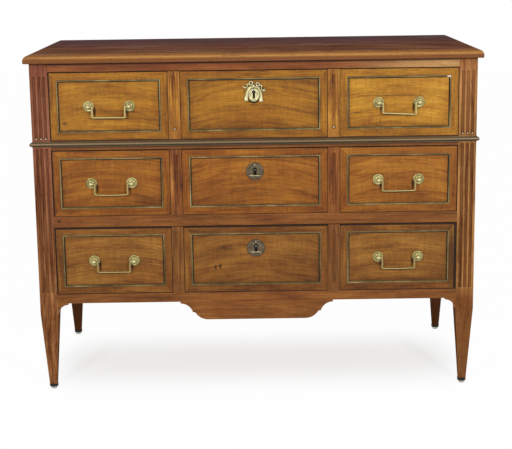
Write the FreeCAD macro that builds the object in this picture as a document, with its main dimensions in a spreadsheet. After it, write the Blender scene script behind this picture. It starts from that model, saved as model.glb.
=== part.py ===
import FreeCAD, Part
import math
import os
import re
import Sketcher
from FreeCAD import Rotation, Vector

# Driving sizes in millimetres, one cell of the sheet each.
SIZES = {
    # Whole chest and its top board
    "top_width": 1160,
    "top_depth": 560,
    "total_height": 890,
    "top_thick": 22,
    "side_overhang": 12,
    "front_overhang": 22,
    "rear_overhang": 8,
    "nosing_radius": 13,
    "nosing_under_radius": 3,
    "quirk_height": 1.5,
    "quirk_inset": 1.5,
    # Corner posts, their flutes, legs and feet
    "post_size": 46,
    "peg_radius": 8,
    "peg_length": 12,
    "flute_radius": 4.5,
    "flute_depth": 3,
    "flute_pitch": 12.5,
    "flute_head": 32,
    "flute_margin": 3,
    "post_bead_radius": 2.9,
    "bead_clearance": 0.05,
    "leg_toe": 19,
    "foot_height": 14,
    "ferrule_radius": 11.5,
    "ferrule_height": 8,
    "ferrule_round": 2,
    "stem_radius": 4,
    "stem_length": 20,
    "glide_radius": 10,
    "glide_flat_radius": 7,
    # Front rails and openings, from the top down
    "rail_depth": 44,
    "frieze_height": 23,
    "top_drawer_opening": 175,
    "waist_rail_height": 25,
    "middle_drawer_opening": 173,
    "middle_rail_height": 29,
    "bottom_drawer_opening": 179,
    "apron_rail_height": 25,
    "tenon_thick": 12,
    "tenon_setback": 8,
    "tenon_shoulder": 4,
    "mortise_wall": 3,
    "joint_clearance": 0.1,
    # Shaped apron
    "apron_thick": 24,
    "apron_flat_half": 128,
    "ovolo_run": 34,
    "ovolo_rise": 20,
    "notch_run": 6,
    "cavetto_run": 32,
    "cavetto_rise": 24,
    "step_rise": 5,
    "bracket_drop": 28,
    "bracket_reach": 28,
    "bracket_step": 4,
    "bracket_toe": 2.5,
    # Brass band at the waist
    "band_height": 13,
    "band_reach": 7,
    "band_fillet": 1.5,
    "band_raise": 3,
    # Panelled sides
    "side_rail_thick": 24,
    "side_top_rail_height": 42,
    "side_waist_rail_lap": 8,
    "side_bottom_rail_height": 60,
    "side_tenon_length": 24,
    "side_panel_thick": 10,
    "side_panel_inset": 7,
    "groove_depth": 8,
    # Back
    "back_rail_height": 50,
    "back_rail_thick": 22,
    "back_inset": 6,
    "back_board_thick": 10,
    "back_board_setback": 6,
    "board_gap": 0.4,
    # Runners and stops
    "runner_width": 38,
    "runner_tenon_length": 10,
    "runner_tenon_height": 10,
    "runner_tenon_shoulder": 5,
    "stop_length": 16,
    "stop_height": 14,
    "stop_clearance": 0.3,
    # Drawer boxes
    "front_thick": 24,
    "front_gap": 1.3,
    "head_gap": 1.6,
    "run_clearance": 0.3,
    "side_thick": 14,
    "side_drop": 6,
    "drawer_back_thick": 12,
    "drawer_back_drop": 10,
    "bottom_thick": 8,
    "bottom_raise": 10,
    "bottom_groove": 6,
    "lap_thick": 8,
    "tail_root": 24,
    "tail_flare": 3,
    # Panelled drawer fronts
    "frame_width": 19.5,
    "panel_depth": 3,
    "centre_panel_width": 337,
    "pilaster_width": 30,
    "pilaster_gap": 0.8,
    "pilaster_bed": 5,
    "pilaster_proud": 1,
    "pilaster_flute_radius": 5.5,
    "pilaster_flute_depth": 3,
    "pilaster_flute_head": 12,
    "pilaster_flute_foot": 20,
    "pilaster_bead_radius": 3.2,
    "moulding_width": 5.5,
    "moulding_height": 5,
    "moulding_round": 2,
    # Handles
    "handle_spacing": 104,
    "rosette_radius": 15,
    "rosette_edge": 2,
    "rosette_crest": 3,
    "rosette_crest_radius": 12.8,
    "rosette_valley": 2.2,
    "rosette_valley_radius": 10.5,
    "rosette_boss_radius": 6.5,
    "rosette_thick": 4,
    "ball_radius": 6,
    "ball_reach": 15,
    "neck_radius": 3,
    "shank_radius": 2.5,
    "nut_radius": 7.5,
    "nut_thick": 4,
    "bail_radius": 2.2,
    "bail_leg_spacing": 83,
    "bail_drop": 30,
    "bail_bend": 4,
    "pin_clearance": 0.1,
    "pin_end_gap": 0.4,
    # Locks and keyholes
    "lock_width": 80,
    "lock_height": 76,
    "lock_depth": 13,
    "bolt_width": 26,
    "bolt_thick": 6,
    "bolt_height": 24,
    "bolt_throw": 8,
    "bolt_clearance": 0.3,
    "strike_clearance": 0.6,
    "strike_spare": 1,
    "key_drop": 57,
    "keyhole_radius": 4.5,
    "keyhole_slot": 5.4,
    "keyhole_tail": 14,
    "key_room": 8,
    "key_pin_radius": 1.6,
    # Escutcheons
    "plate_radius": 23,
    "plate_drop": 5,
    "plate_edge": 1.6,
    "plate_rim_width": 5,
    "plate_rim_thick": 3.6,
    "plate_crown": 3,
    "shield_half_width": 16,
    "shield_top": 15,
    "shield_bottom": 24,
    "shield_thick": 3.4,
    "shield_rim": 3,
    "shield_sink": 1,
    "bow_radius": 6,
    "bow_wire_radius": 1.7,
    "bow_half_spacing": 8,
    "bow_raise": 22,
    "knot_radius": 3.6,
    "knot_raise": 17,
    "ribbon_length": 24,
    "ribbon_radius": 1.7,
    "swag_head_radius": 2,
    "swag_foot_radius": 4.4,
    "swag_length": 24,
    "swag_half_spacing": 18,
    "swag_foot_drop": 20,
}
TAILS = 3
BACK_BOARDS = 3
FLUTES = (-1, 0, 1)
RIBBON_SLOPE = 115
START_POINT, END_POINT, CENTRE_POINT = range(1, 4)
SKETCH_ORIGIN = (-1, START_POINT)
NUT_SIDES = 4

doc = FreeCAD.newDocument("chest_of_drawers")
dims = doc.addObject("Spreadsheet::Sheet", "dims")
for row, (alias, value) in enumerate(SIZES.items(), start=1):
    dims.set(f"A{row}", alias)
    dims.set(f"B{row}", str(value))
    dims.setAlias(f"B{row}", alias)
doc.recompute()


def cell(text):
    """The expression with each size's name pointing at its cell."""
    return re.sub(r"[a-z][a-z_]+", lambda word: f"dims.{word.group()}", text)


def number(text):
    return float(dims.evalExpression(cell(text)))


def below(level, size):
    """The span of a given size under another span."""
    return f"({level[0]} - {size})", level[0]


def grown(span, gap="joint_clearance"):
    return f"({span[0]} - {gap})", f"({span[1]} + {gap})"


def shrunk(span, gap):
    return f"({span[0]} + {gap})", f"({span[1]} - {gap})"


def both_sides(reach):
    return f"(-{reach})", reach


def about(middle, half):
    return f"({middle} - {half})", f"({middle} + {half})"


def halfway(span):
    return f"(({span[0]} + {span[1]}) / 2)"


# Main planes of the case, then its levels from the top board down to the apron.
HALF_CASE = "(top_width / 2 - side_overhang)"
POST_IN = f"({HALF_CASE} - post_size)"
POST_MID = f"({HALF_CASE} - post_size / 2)"
FRONT = "(front_overhang - top_depth / 2)"
BACK = "(top_depth / 2 - rear_overhang)"
TOP_UNDER = "(total_height - top_thick)"
FRIEZE = (f"({TOP_UNDER} - frieze_height)", TOP_UNDER)
TOP_OPENING = below(FRIEZE, "top_drawer_opening")
WAIST = below(TOP_OPENING, "waist_rail_height")
MIDDLE_OPENING = below(WAIST, "middle_drawer_opening")
DIVIDER = below(MIDDLE_OPENING, "middle_rail_height")
BOTTOM_OPENING = below(DIVIDER, "bottom_drawer_opening")
APRON = below(BOTTOM_OPENING, "apron_rail_height")
LEG_TOP = f"({APRON[0]} - bracket_drop)"
BAND_MID = f"({halfway(WAIST)} + band_raise)"
BAND = about(BAND_MID, "band_height / 2")

# The tenons of the side rails stand outside those of the front and back rails.
SIDE_TENON_X = about(f"({HALF_CASE} - side_rail_thick / 2)", "tenon_thick / 2")
TENON_X = both_sides(f"({SIDE_TENON_X[0]} - mortise_wall)")
SIDE_SPAN_Y = (f"({FRONT} + post_size)", f"({BACK} - post_size)")
RAIL_Y = (FRONT, f"({FRONT} + rail_depth)")
APRON_Y = (FRONT, f"({FRONT} + apron_thick)")
FRONT_TENON_Y = (f"({FRONT} + tenon_setback)", f"({FRONT} + tenon_setback + tenon_thick)")
BACK_RAIL_Y = (f"({BACK} - back_inset - back_rail_thick)", f"({BACK} - back_inset)")
BACK_TENON_Y = about(halfway(BACK_RAIL_Y), "tenon_thick / 2")
POST_FRONT_MID = f"({FRONT} + post_size / 2)"
POST_REAR_MID = f"({BACK} - post_size / 2)"

# Planes that all three drawers share.
DRAWER_OUT = f"({POST_IN} - front_gap)"
DRAWER_IN = f"({DRAWER_OUT} - side_thick)"
DRAWER_REAR = f"({BACK_RAIL_Y[0]} - stop_length - stop_clearance)"
REAR_SHOULDER = f"({DRAWER_REAR} - drawer_back_thick)"
FRONT_INNER = f"({FRONT} + front_thick)"
PANEL_FLOOR = f"({FRONT} + panel_depth)"
CLEAR_OF_FRONT = f"({FRONT} - panel_depth)"
CENTRE_PANEL_X = both_sides("(centre_panel_width / 2)")
PILASTER_IN = "(centre_panel_width / 2 + frame_width)"
PILASTER_X = (PILASTER_IN, f"({PILASTER_IN} + pilaster_width)")
SIDE_PANEL_X = (f"({PILASTER_X[1]} + frame_width)", f"({DRAWER_OUT} - frame_width)")
HANDLE_X = halfway(SIDE_PANEL_X)
BALL_Y = f"({PANEL_FLOOR} - ball_reach)"
LOCK_Y = (f"({FRONT_INNER} - lock_depth)", FRONT_INNER)
BOLT_X = both_sides("(bolt_width / 2)")
BOLT_Y = about(halfway(LOCK_Y), "bolt_thick / 2")
KEYWAY_END = f"({LOCK_Y[0]} + key_room)"

ALONG_X = Rotation(Vector(0, 1, 0), 90)
ALONG_Y = Rotation(Vector(1, 0, 0), -90)

pieces = {}


def piece(label, shape):
    """Register a finished sub-part under the name of its file."""
    shape.Label = label
    pieces[label] = shape


def place(shape, at):
    for axis, text in zip("xyz", at):
        shape.setExpression(f"Placement.Base.{axis}", cell(text))


def block(name, x, y, z):
    """A rectangular block between two planes along each axis."""
    box = doc.addObject("Part::Box", name)
    for side, (low, high) in zip(("Length", "Width", "Height"), (x, y, z)):
        box.setExpression(side, cell(f"{high} - {low}"))
    place(box, (x[0], y[0], z[0]))
    return box


def rod(name, radius, length, at, turn=None):
    """A round rod along Z, or along another axis after a turn."""
    cylinder = doc.addObject("Part::Cylinder", name)
    if turn:
        cylinder.Placement.Rotation = turn
    cylinder.setExpression("Radius", cell(radius))
    cylinder.setExpression("Height", cell(length))
    place(cylinder, at)
    return cylinder


def ball(name, radius, at):
    sphere = doc.addObject("Part::Sphere", name)
    sphere.setExpression("Radius", cell(radius))
    place(sphere, at)
    return sphere


def fuse(name, shapes):
    joined = doc.addObject("Part::MultiFuse", name)
    joined.Shapes = shapes
    joined.Refine = True
    return joined


def cut(name, base, tools):
    removed = tools[0] if len(tools) == 1 else fuse(f"{name}_cutters", tools)
    remainder = doc.addObject("Part::Cut", name)
    remainder.Base = base
    remainder.Tool = removed
    remainder.Refine = True
    return remainder


def mirrored(shape):
    """The left-hand copy of a right-hand shape."""
    copy = doc.addObject("Part::Mirroring", f"{shape.Name}_left_copy")
    copy.Source = shape
    copy.Normal = Vector(1, 0, 0)
    return copy


def group(name, shapes):
    compound = doc.addObject("Part::Compound", name)
    compound.Links = shapes
    return compound


def pairs(name, shapes):
    """Right-hand shapes with their left-hand copies."""
    return group(name, shapes + [mirrored(shape) for shape in shapes])


def new_body(name):
    return doc.addObject("PartDesign::Body", name)


def new_sketch(body, name, role, shift):
    """A sketch on one of the body's own planes, shifted along the sketch's axes."""
    sketch = body.newObject("Sketcher::SketchObject", name)
    plane = next(feature for feature in body.Origin.OriginFeatures if feature.Role == role)
    sketch.AttachmentSupport = [(plane, "")]
    sketch.MapMode = "FlatFace"
    for axis, text in zip("xyz", shift):
        sketch.setExpression(f"AttachmentOffset.Base.{axis}", cell(text))
    return sketch


def bind_point(sketch, edge, point, x, y):
    """Fix the known coordinates of a point of the sketch to sizes of the sheet."""
    for kind, text in (("DistanceX", x), ("DistanceY", y)):
        if text is None:
            continue
        index = sketch.addConstraint(Sketcher.Constraint(kind, edge, point, number(text)))
        sketch.setExpression(f"Constraints[{index}]", cell(text))


def arc_centre(start, end, centre_x):
    """Centre of the circle through two points, given where it lies along X."""
    gap = (end.x - centre_x) ** 2 + end.y ** 2 - (start.x - centre_x) ** 2 - start.y ** 2
    return Vector(centre_x, gap / (2 * (end.y - start.y)), 0)


def arc_between(start, end, centre_x):
    """The arc that turns left from start to end."""
    centre = arc_centre(start, end, centre_x)
    angles = [math.atan2(point.y - centre.y, point.x - centre.x) for point in (start, end)]
    circle = Part.Circle(centre, Vector(0, 0, 1), (start - centre).Length)
    return Part.ArcOfCircle(circle, *angles)


def draw(sketch, steps, closed=True):
    """Draw straight and round edges from corner to corner, every corner bound to the sheet.

    A step is (x, y), reached by a straight edge, or (x, y, turn, centre_x), reached by an arc
    that turns left or right about a centre at that x. An open line starts at its first step.
    """
    corners = [Vector(number(step[0]), number(step[1]), 0) for step in steps]
    ends = {}
    for index in range(0 if closed else 1, len(steps)):
        start, end = corners[index - 1], corners[index]
        x, y, *bend = steps[index]
        begin, finish = START_POINT, END_POINT
        if bend and bend[0] == "right":
            start, end = end, start
            begin, finish = finish, begin
        edge_shape = arc_between(start, end, number(bend[1])) if bend else Part.LineSegment(start, end)
        edge = sketch.addGeometry(edge_shape)
        if bend:
            bind_point(sketch, edge, CENTRE_POINT, bend[1], None)
        bind_point(sketch, edge, finish, x, y)
        ends[index] = (edge, begin, finish)
    for index, (edge, begin, _) in ends.items():
        before = (index - 1) % len(steps)
        if before in ends:
            joint = Sketcher.Constraint("Coincident", edge, begin, ends[before][0], ends[before][2])
            sketch.addConstraint(joint)
        else:
            bind_point(sketch, edge, begin, *steps[before][:2])


def draw_circle(sketch, radius):
    circle = sketch.addGeometry(Part.Circle(Vector(), Vector(0, 0, 1), number(radius)))
    sketch.addConstraint(Sketcher.Constraint("Coincident", circle, CENTRE_POINT, *SKETCH_ORIGIN))
    index = sketch.addConstraint(Sketcher.Constraint("Radius", circle, number(radius)))
    sketch.setExpression(f"Constraints[{index}]", cell(radius))


def rectangle(x, y):
    return [(x[0], y[0]), (x[1], y[0]), (x[1], y[1]), (x[0], y[1])]


def pad(body, name, sketch, length):
    feature = body.newObject("PartDesign::Pad", name)
    feature.Profile = sketch
    feature.setExpression("Length", cell(length))
    return feature


def round_edges(body, name, base, radius, wanted):
    """Round those edges of a feature whose corner points pass the test."""
    doc.recompute()
    names = []
    for index, edge in enumerate(base.Shape.Edges, start=1):
        if wanted([corner.Point for corner in edge.Vertexes]):
            names.append(f"Edge{index}")
    feature = body.newObject("PartDesign::Fillet", name)
    feature.Base = (base, names)
    feature.setExpression("Radius", cell(radius))
    return feature


def sweep(body, name, profile, path):
    doc.recompute()
    feature = body.newObject("PartDesign::AdditivePipe", name)
    feature.Profile = profile
    feature.Spine = (path, [f"Edge{index + 1}" for index in range(path.GeometryCount)])
    feature.Transition = "Right corner"
    return feature


def turned(name, role, shift, steps):
    """A piece turned about its sketch's upright axis; a step is (radius, place along the axis)."""
    body = new_body(name)
    sketch = new_sketch(body, f"{name}_profile", role, shift)
    draw(sketch, steps)
    spin = body.newObject("PartDesign::Revolution", f"{name}_turning")
    spin.Profile = sketch
    spin.ReferenceAxis = (sketch, ["V_Axis"])
    return body


def same(value, text):
    tolerance = 0.001
    return abs(value - number(text)) < tolerance


def make_top_board():
    """One board with a rounded nosing and a small quirk on three edges, pegged onto the posts."""
    body = new_body("top_blank")
    sketch = new_sketch(body, "top_outline", "XY_Plane", ("0", "0", TOP_UNDER))
    draw(sketch, rectangle(both_sides("(top_width / 2)"), both_sides("(top_depth / 2)")))
    slab = pad(body, "top_slab", sketch, "top_thick - quirk_height")

    def moulded_at(level):
        def wanted(points):
            at_rear = all(same(point.y, "top_depth / 2") for point in points)
            return not at_rear and all(same(point.z, level) for point in points)
        return wanted

    shoulder = "(total_height - quirk_height)"
    nosing = round_edges(body, "top_nosing", slab, "nosing_radius", moulded_at(shoulder))
    round_edges(body, "top_under_nosing", nosing, "nosing_under_radius", moulded_at(TOP_UNDER))
    table = new_sketch(body, "top_table_outline", "XY_Plane", ("0", "0", shoulder))
    inset = "(nosing_radius + quirk_inset)"
    table_x = both_sides(f"(top_width / 2 - {inset})")
    draw(table, rectangle(table_x, (f"{inset} - top_depth / 2", "top_depth / 2")))
    pad(body, "top_table", table, "quirk_height")
    sockets = []
    for end, middle in (("front", POST_FRONT_MID), ("rear", POST_REAR_MID)):
        radius = "peg_radius + joint_clearance"
        depth = "peg_length + joint_clearance"
        socket = rod(f"peg_socket_{end}", radius, depth, (POST_MID, middle, TOP_UNDER))
        sockets += [socket, mirrored(socket)]
    piece("top_board", cut("top_board", body, sockets))


def make_post(name, y, cutters):
    """A right-hand corner post that tapers into its leg, and its left-hand copy."""
    middle = halfway(y)
    body = new_body(f"{name}_blank")
    square = rectangle((POST_IN, HALF_CASE), y)
    section = new_sketch(body, f"{name}_section", "XY_Plane", ("0", "0", LEG_TOP))
    draw(section, square)
    pad(body, f"{name}_shaft", section, f"{TOP_UNDER} - {LEG_TOP}")
    knee = new_sketch(body, f"{name}_knee", "XY_Plane", ("0", "0", LEG_TOP))
    draw(knee, square)
    toe = new_sketch(body, f"{name}_toe", "XY_Plane", ("0", "0", "foot_height"))
    draw(toe, rectangle(about(POST_MID, "leg_toe / 2"), about(middle, "leg_toe / 2")))
    doc.recompute()
    leg = body.newObject("PartDesign::AdditiveLoft", f"{name}_leg")
    leg.Profile = knee
    leg.Sections = [toe]
    peg = rod(f"{name}_peg", "peg_radius", "peg_length", (POST_MID, middle, TOP_UNDER))
    bore_radius = "stem_radius + joint_clearance"
    bore_depth = "stem_length + joint_clearance"
    bore = rod(f"{name}_stem_bore", bore_radius, bore_depth, (POST_MID, middle, "foot_height"))
    post = cut(f"{name}_right", fuse(f"{name}_pegged", [body, peg]), cutters + [bore])
    piece(f"{name}_right", post)
    piece(f"{name}_left", mirrored(post))


def flute_axis(face, radius, depth):
    return f"({face} - {radius} + {depth})"


def make_flute(name, x, axis_y, radius, z):
    """Cutter for an upright groove with round ends."""
    core = shrunk(z, radius)
    shaft = rod(f"{name}_shaft", radius, f"{core[1]} - {core[0]}", (x, axis_y, core[0]))
    low_end = ball(f"{name}_low_end", radius, (x, axis_y, core[0]))
    high_end = ball(f"{name}_high_end", radius, (x, axis_y, core[1]))
    return fuse(name, [shaft, low_end, high_end])


def make_bead(name, x, axis_y, flute_radius, radius, flute_foot):
    """A brass bead seated against the back of a flute, at its lower end."""
    seat = f"{axis_y} + {flute_radius} - {radius} - bead_clearance"
    return ball(name, radius, (x, seat, f"{flute_foot} + {flute_radius}"))


def make_post_flutes():
    """Cutters for the three flutes above and below the band, and the beads in the upper ones."""
    axis_y = flute_axis(FRONT, "flute_radius", "flute_depth")
    upper = (f"({BAND[1]} + flute_margin)", f"({TOP_UNDER} - flute_head)")
    lower = (f"({BOTTOM_OPENING[0]} + flute_margin)", f"({BAND[0]} - flute_margin)")
    cutters = []
    beads = []
    for column in FLUTES:
        x = f"({POST_MID} + {column} * flute_pitch)"
        tag = column + len(FLUTES) // 2
        cutters.append(make_flute(f"flute_upper_{tag}", x, axis_y, "flute_radius", upper))
        cutters.append(make_flute(f"flute_lower_{tag}", x, axis_y, "flute_radius", lower))
        bead_radius = "post_bead_radius"
        beads.append(make_bead(f"post_bead_{tag}", x, axis_y, "flute_radius", bead_radius, upper[0]))
    piece("post_beads", pairs("post_beads", beads))
    return cutters


def make_feet():
    """A collar with a stem in the end of each leg, and a bright glide under it."""
    sole = "(foot_height - ferrule_height)"
    ferrules = []
    glides = []
    for end, middle in (("front", POST_FRONT_MID), ("rear", POST_REAR_MID)):
        shift = (POST_MID, "0", f"-{middle}")
        collar = [
            ("0", sole),
            ("ferrule_radius - ferrule_round", sole),
            ("ferrule_radius", f"{sole} + ferrule_round", "left", "ferrule_radius - ferrule_round"),
            ("ferrule_radius", "foot_height"),
            ("stem_radius", "foot_height"),
            ("stem_radius", "foot_height + stem_length"),
            ("0", "foot_height + stem_length"),
        ]
        ferrules.append(turned(f"ferrule_{end}", "XZ_Plane", shift, collar))
        pad_profile = [("0", "0"), ("glide_flat_radius", "0"), ("glide_radius", sole, "left", "0"), ("0", sole)]
        glides.append(turned(f"glide_{end}", "XZ_Plane", shift, pad_profile))
    piece("foot_ferrules", pairs("foot_ferrules", ferrules))
    piece("foot_glides", pairs("foot_glides", glides))


def cross_rail(name, body, y, z, tenon_y, sockets):
    """A rail with a tenon on each end; returns the rail and the mortise for its right-hand post."""
    bar = body or block(f"{name}_bar", both_sides(POST_IN), y, z)
    tenon_z = shrunk(z, "tenon_shoulder")
    tenons = block(f"{name}_tenons", TENON_X, tenon_y, tenon_z)
    mortise_x = (POST_IN, f"({TENON_X[1]} + joint_clearance)")
    mortise = block(f"{name}_mortise", mortise_x, grown(tenon_y), grown(tenon_z))
    rail = fuse(f"{name}_tenoned", [bar, tenons])
    return cut(name, rail, sockets), mortise


def make_runners():
    """Runners and stops of the drawers, kickers over the top one; returns the sockets by level."""
    levels = {
        "kicker": (FRIEZE, RAIL_Y[1]),
        "waist": (WAIST, RAIL_Y[1]),
        "middle": (DIVIDER, RAIL_Y[1]),
        "bottom": (APRON, APRON_Y[1]),
    }
    x = (f"({POST_IN} - runner_width)", POST_IN)
    tenon_x = shrunk(x, "runner_tenon_shoulder")
    runners = []
    stops = []
    sockets = {}
    for level, (z, start) in levels.items():
        tenon_y = (f"({start} - runner_tenon_length)", start)
        tenon_z = about(halfway(z), "runner_tenon_height / 2")
        bar = block(f"runner_{level}_bar", x, (start, BACK_RAIL_Y[0]), z)
        tenon = block(f"runner_{level}_tenon", tenon_x, tenon_y, tenon_z)
        runners.append(fuse(f"runner_{level}", [bar, tenon]))
        socket = block(f"runner_{level}_socket", grown(tenon_x), grown(tenon_y), grown(tenon_z))
        sockets[level] = [socket, mirrored(socket)]
        if level != "kicker":
            stop_y = (f"({DRAWER_REAR} + stop_clearance)", BACK_RAIL_Y[0])
            stops.append(block(f"stop_{level}", x, stop_y, (z[1], f"({z[1]} + stop_height)")))
    piece("drawer_runners", pairs("drawer_runners", runners + stops))
    return sockets


def strike(level, z):
    """Mortise in the underside of a rail, for the bolt of the drawer below."""
    depth = (z[0], f"({z[0]} + bolt_throw + strike_spare)")
    return block(f"strike_{level}", grown(BOLT_X, "strike_clearance"), grown(BOLT_Y, "strike_clearance"), depth)


def apron_half():
    """Corners of the apron's right half, from the drop in the middle to the bracket at the post."""
    drop = f"({APRON[0]} - step_rise - cavetto_rise - ovolo_rise)"
    ovolo_end = ("(apron_flat_half + ovolo_run)", f"({drop} + ovolo_rise)")
    notch_x = f"({ovolo_end[0]} + notch_run)"
    cavetto_end = (f"({notch_x} + cavetto_run)", f"({ovolo_end[1]} + cavetto_rise)")
    bracket_x = f"({POST_IN} - bracket_reach)"
    toe = (f"({POST_IN} - bracket_toe)", f"({APRON[0]} - bracket_drop)")
    return [
        ("apron_flat_half", drop),
        (*ovolo_end, "left", "apron_flat_half"),
        (notch_x, ovolo_end[1]),
        (*cavetto_end, "right", cavetto_end[0]),
        (cavetto_end[0], APRON[0]),
        (bracket_x, APRON[0]),
        (bracket_x, f"({APRON[0]} - bracket_step)"),
        (*toe, "right", bracket_x),
        (POST_IN, toe[1]),
        (POST_IN, APRON[1]),
    ]


def reflected(steps):
    """The same corners on the left, drawn back towards the middle."""
    result = []
    bends = [step[2:] for step in steps[1:]] + [()]
    for step, bend in zip(steps[::-1], bends[::-1]):
        centre = (bend[0], f"(-{bend[1]})") if bend else ()
        result.append((f"(-{step[0]})", step[1], *centre))
    return result


def make_front_rails(runner_sockets):
    """Rails across the front; returns the mortises for the right front post."""
    mortises = []
    rails = {
        "frieze_rail": (FRIEZE, runner_sockets["kicker"] + [strike("top", FRIEZE)]),
        "waist_rail": (WAIST, runner_sockets["waist"] + [strike("middle", WAIST)]),
        "middle_rail": (DIVIDER, runner_sockets["middle"] + [strike("bottom", DIVIDER)]),
    }
    for name, (z, sockets) in rails.items():
        rail, mortise = cross_rail(name, None, RAIL_Y, z, FRONT_TENON_Y, sockets)
        piece(name, rail)
        mortises.append(mortise)
    body = new_body("apron_board")
    sketch = new_sketch(body, "apron_outline", "XZ_Plane", ("0", "0", f"-{APRON_Y[1]}"))
    right = apron_half()
    draw(sketch, right + reflected(right))
    pad(body, "apron_blank", sketch, "apron_thick")
    apron, mortise = cross_rail("apron_rail", body, APRON_Y, APRON, FRONT_TENON_Y, runner_sockets["bottom"])
    piece("apron_rail", apron)
    return mortises + [mortise]


def make_sides():
    """Side rails and panels; returns the mortises and grooves that the right-hand posts share."""
    top = (f"({TOP_UNDER} - side_top_rail_height)", TOP_UNDER)
    waist = grown(WAIST, "side_waist_rail_lap")
    bottom = (APRON[0], f"({APRON[0]} + side_bottom_rail_height)")
    outer = f"({HALF_CASE} - side_panel_inset)"
    panel_x = (f"({outer} - side_panel_thick)", outer)
    tongue = "(groove_depth - joint_clearance)"
    panel_y = grown(SIDE_SPAN_Y, tongue)
    panels = []
    grooves = []
    for level, span in (("upper", (waist[1], top[0])), ("lower", (bottom[1], waist[0]))):
        z = grown(span, tongue)
        panels.append(block(f"side_panel_{level}", panel_x, panel_y, z))
        grooves.append(block(f"side_groove_{level}", grown(panel_x), grown(panel_y), grown(z)))
    rails = []
    mortises = []
    rail_x = (f"({HALF_CASE} - side_rail_thick)", HALF_CASE)
    tenon_y = grown(SIDE_SPAN_Y, "side_tenon_length")
    for level, z in (("top", top), ("waist", waist), ("bottom", bottom)):
        bar = block(f"side_bar_{level}", rail_x, SIDE_SPAN_Y, z)
        tenon_z = shrunk(z, "tenon_shoulder")
        tenons = block(f"side_tenons_{level}", SIDE_TENON_X, tenon_y, tenon_z)
        blank = fuse(f"side_blank_{level}", [bar, tenons])
        rails.append(cut(f"side_rail_{level}", blank, grooves))
        mortises.append(block(f"side_mortise_{level}", grown(SIDE_TENON_X), grown(tenon_y), grown(tenon_z)))
    for name, shapes in (("side_rails", rails), ("side_panels", panels)):
        right = group(f"{name}_right", shapes)
        piece(f"{name}_right", right)
        piece(f"{name}_left", mirrored(right))
    return mortises + grooves


def make_back():
    """Back rails and boards; returns the mortises and the groove for the right rear post."""
    top = (f"({TOP_UNDER} - back_rail_height)", TOP_UNDER)
    bottom = (APRON[0], f"({APRON[0]} + back_rail_height)")
    tongue = "(groove_depth - joint_clearance)"
    board_rear = f"({BACK_RAIL_Y[1]} - back_board_setback)"
    y = (f"({board_rear} - back_board_thick)", board_rear)
    x = both_sides(f"({POST_IN} + {tongue})")
    z = grown((bottom[1], top[0]), tongue)
    groove = block("back_groove", grown(x), grown(y), grown(z))
    height = f"(({z[1]} - {z[0]}) / {BACK_BOARDS})"
    boards = []
    for index in range(BACK_BOARDS):
        low = f"({z[0]} + {index} * {height})"
        boards.append(block(f"back_board_{index}", x, y, (low, f"({low} + {height} - board_gap)")))
    piece("back_boards", group("back_boards", boards))
    rails = []
    mortises = []
    for level, span in (("top", top), ("bottom", bottom)):
        rail, mortise = cross_rail(f"back_rail_{level}", None, BACK_RAIL_Y, span, BACK_TENON_Y, [groove])
        rails.append(rail)
        mortises.append(mortise)
    piece("back_rails", group("back_rails", rails))
    return mortises + [groove]


def band_length(name, role, shift, out, turn, length):
    """A straight length of the waist band: half-round, with a fillet along each edge."""
    half = "(band_height / 2)"
    bead = f"({half} - band_fillet)"
    rise = "(band_reach - band_fillet)"
    radius = f"(({bead} * {bead} + {rise} * {rise}) / (2 * {rise}))"
    body = new_body(name)
    profile = new_sketch(body, f"{name}_profile", role, shift)
    draw(profile, [
        (out("0"), f"-{half}"),
        (out("band_fillet"), f"-{half}"),
        (out("band_fillet"), f"-{bead}"),
        (out("band_fillet"), bead, turn, out(f"(band_reach - {radius})")),
        (out("band_fillet"), half),
        (out("0"), half),
    ])
    pad(body, f"{name}_strip", profile, length)
    return body


def make_waist_moulding():
    """The brass band round the front and sides, in three lengths mitred at the front corners."""
    corner = f"({HALF_CASE} + band_reach)"
    front = band_length("band_front_bar", "YZ_Plane", ("0", BAND_MID, f"-{corner}"),
                        lambda reach: f"({FRONT} - {reach})", "right", f"2 * {corner}")
    side = band_length("band_side_bar", "XZ_Plane", ("0", BAND_MID, f"-{BACK}"),
                       lambda reach: f"({HALF_CASE} + {reach})", "left", f"{BACK} - {FRONT} + band_reach")
    zone = new_body("band_side_zone")
    outline = new_sketch(zone, "band_side_outline", "XY_Plane", ("0", "0", f"({BAND[0]} - band_reach)"))
    beyond = (f"({HALF_CASE} + 2 * band_reach)", f"({FRONT} - 2 * band_reach)")
    rear = f"({BACK} + band_reach)"
    inner = (f"({HALF_CASE} - band_reach)", f"({FRONT} + band_reach)")
    draw(outline, [inner, beyond, (beyond[0], rear), (inner[0], rear)])
    pad(zone, "band_side_block", outline, "band_height + 2 * band_reach")
    mitred_front = cut("band_front", front, [zone, mirrored(zone)])
    mitred_side = doc.addObject("Part::Common", "band_side")
    mitred_side.Base = side
    mitred_side.Tool = zone
    lengths = [mitred_front, mitred_side, mirrored(mitred_side)]
    piece("waist_moulding", group("waist_moulding", lengths))


def tails(root_y, end_y, span):
    """Corners of a row of dovetails, from the foot of a span to its head."""
    pitch = f"(({span[1]} - {span[0]}) / {TAILS})"
    corners = []
    for index in range(TAILS):
        root = about(f"({span[0]} + ({index} + 1 / 2) * {pitch})", "tail_root / 2")
        end = grown(root, "tail_flare")
        corners += [(root_y, root[0]), (end_y, end[0]), (end_y, end[1]), (root_y, root[1])]
    return corners


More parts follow.
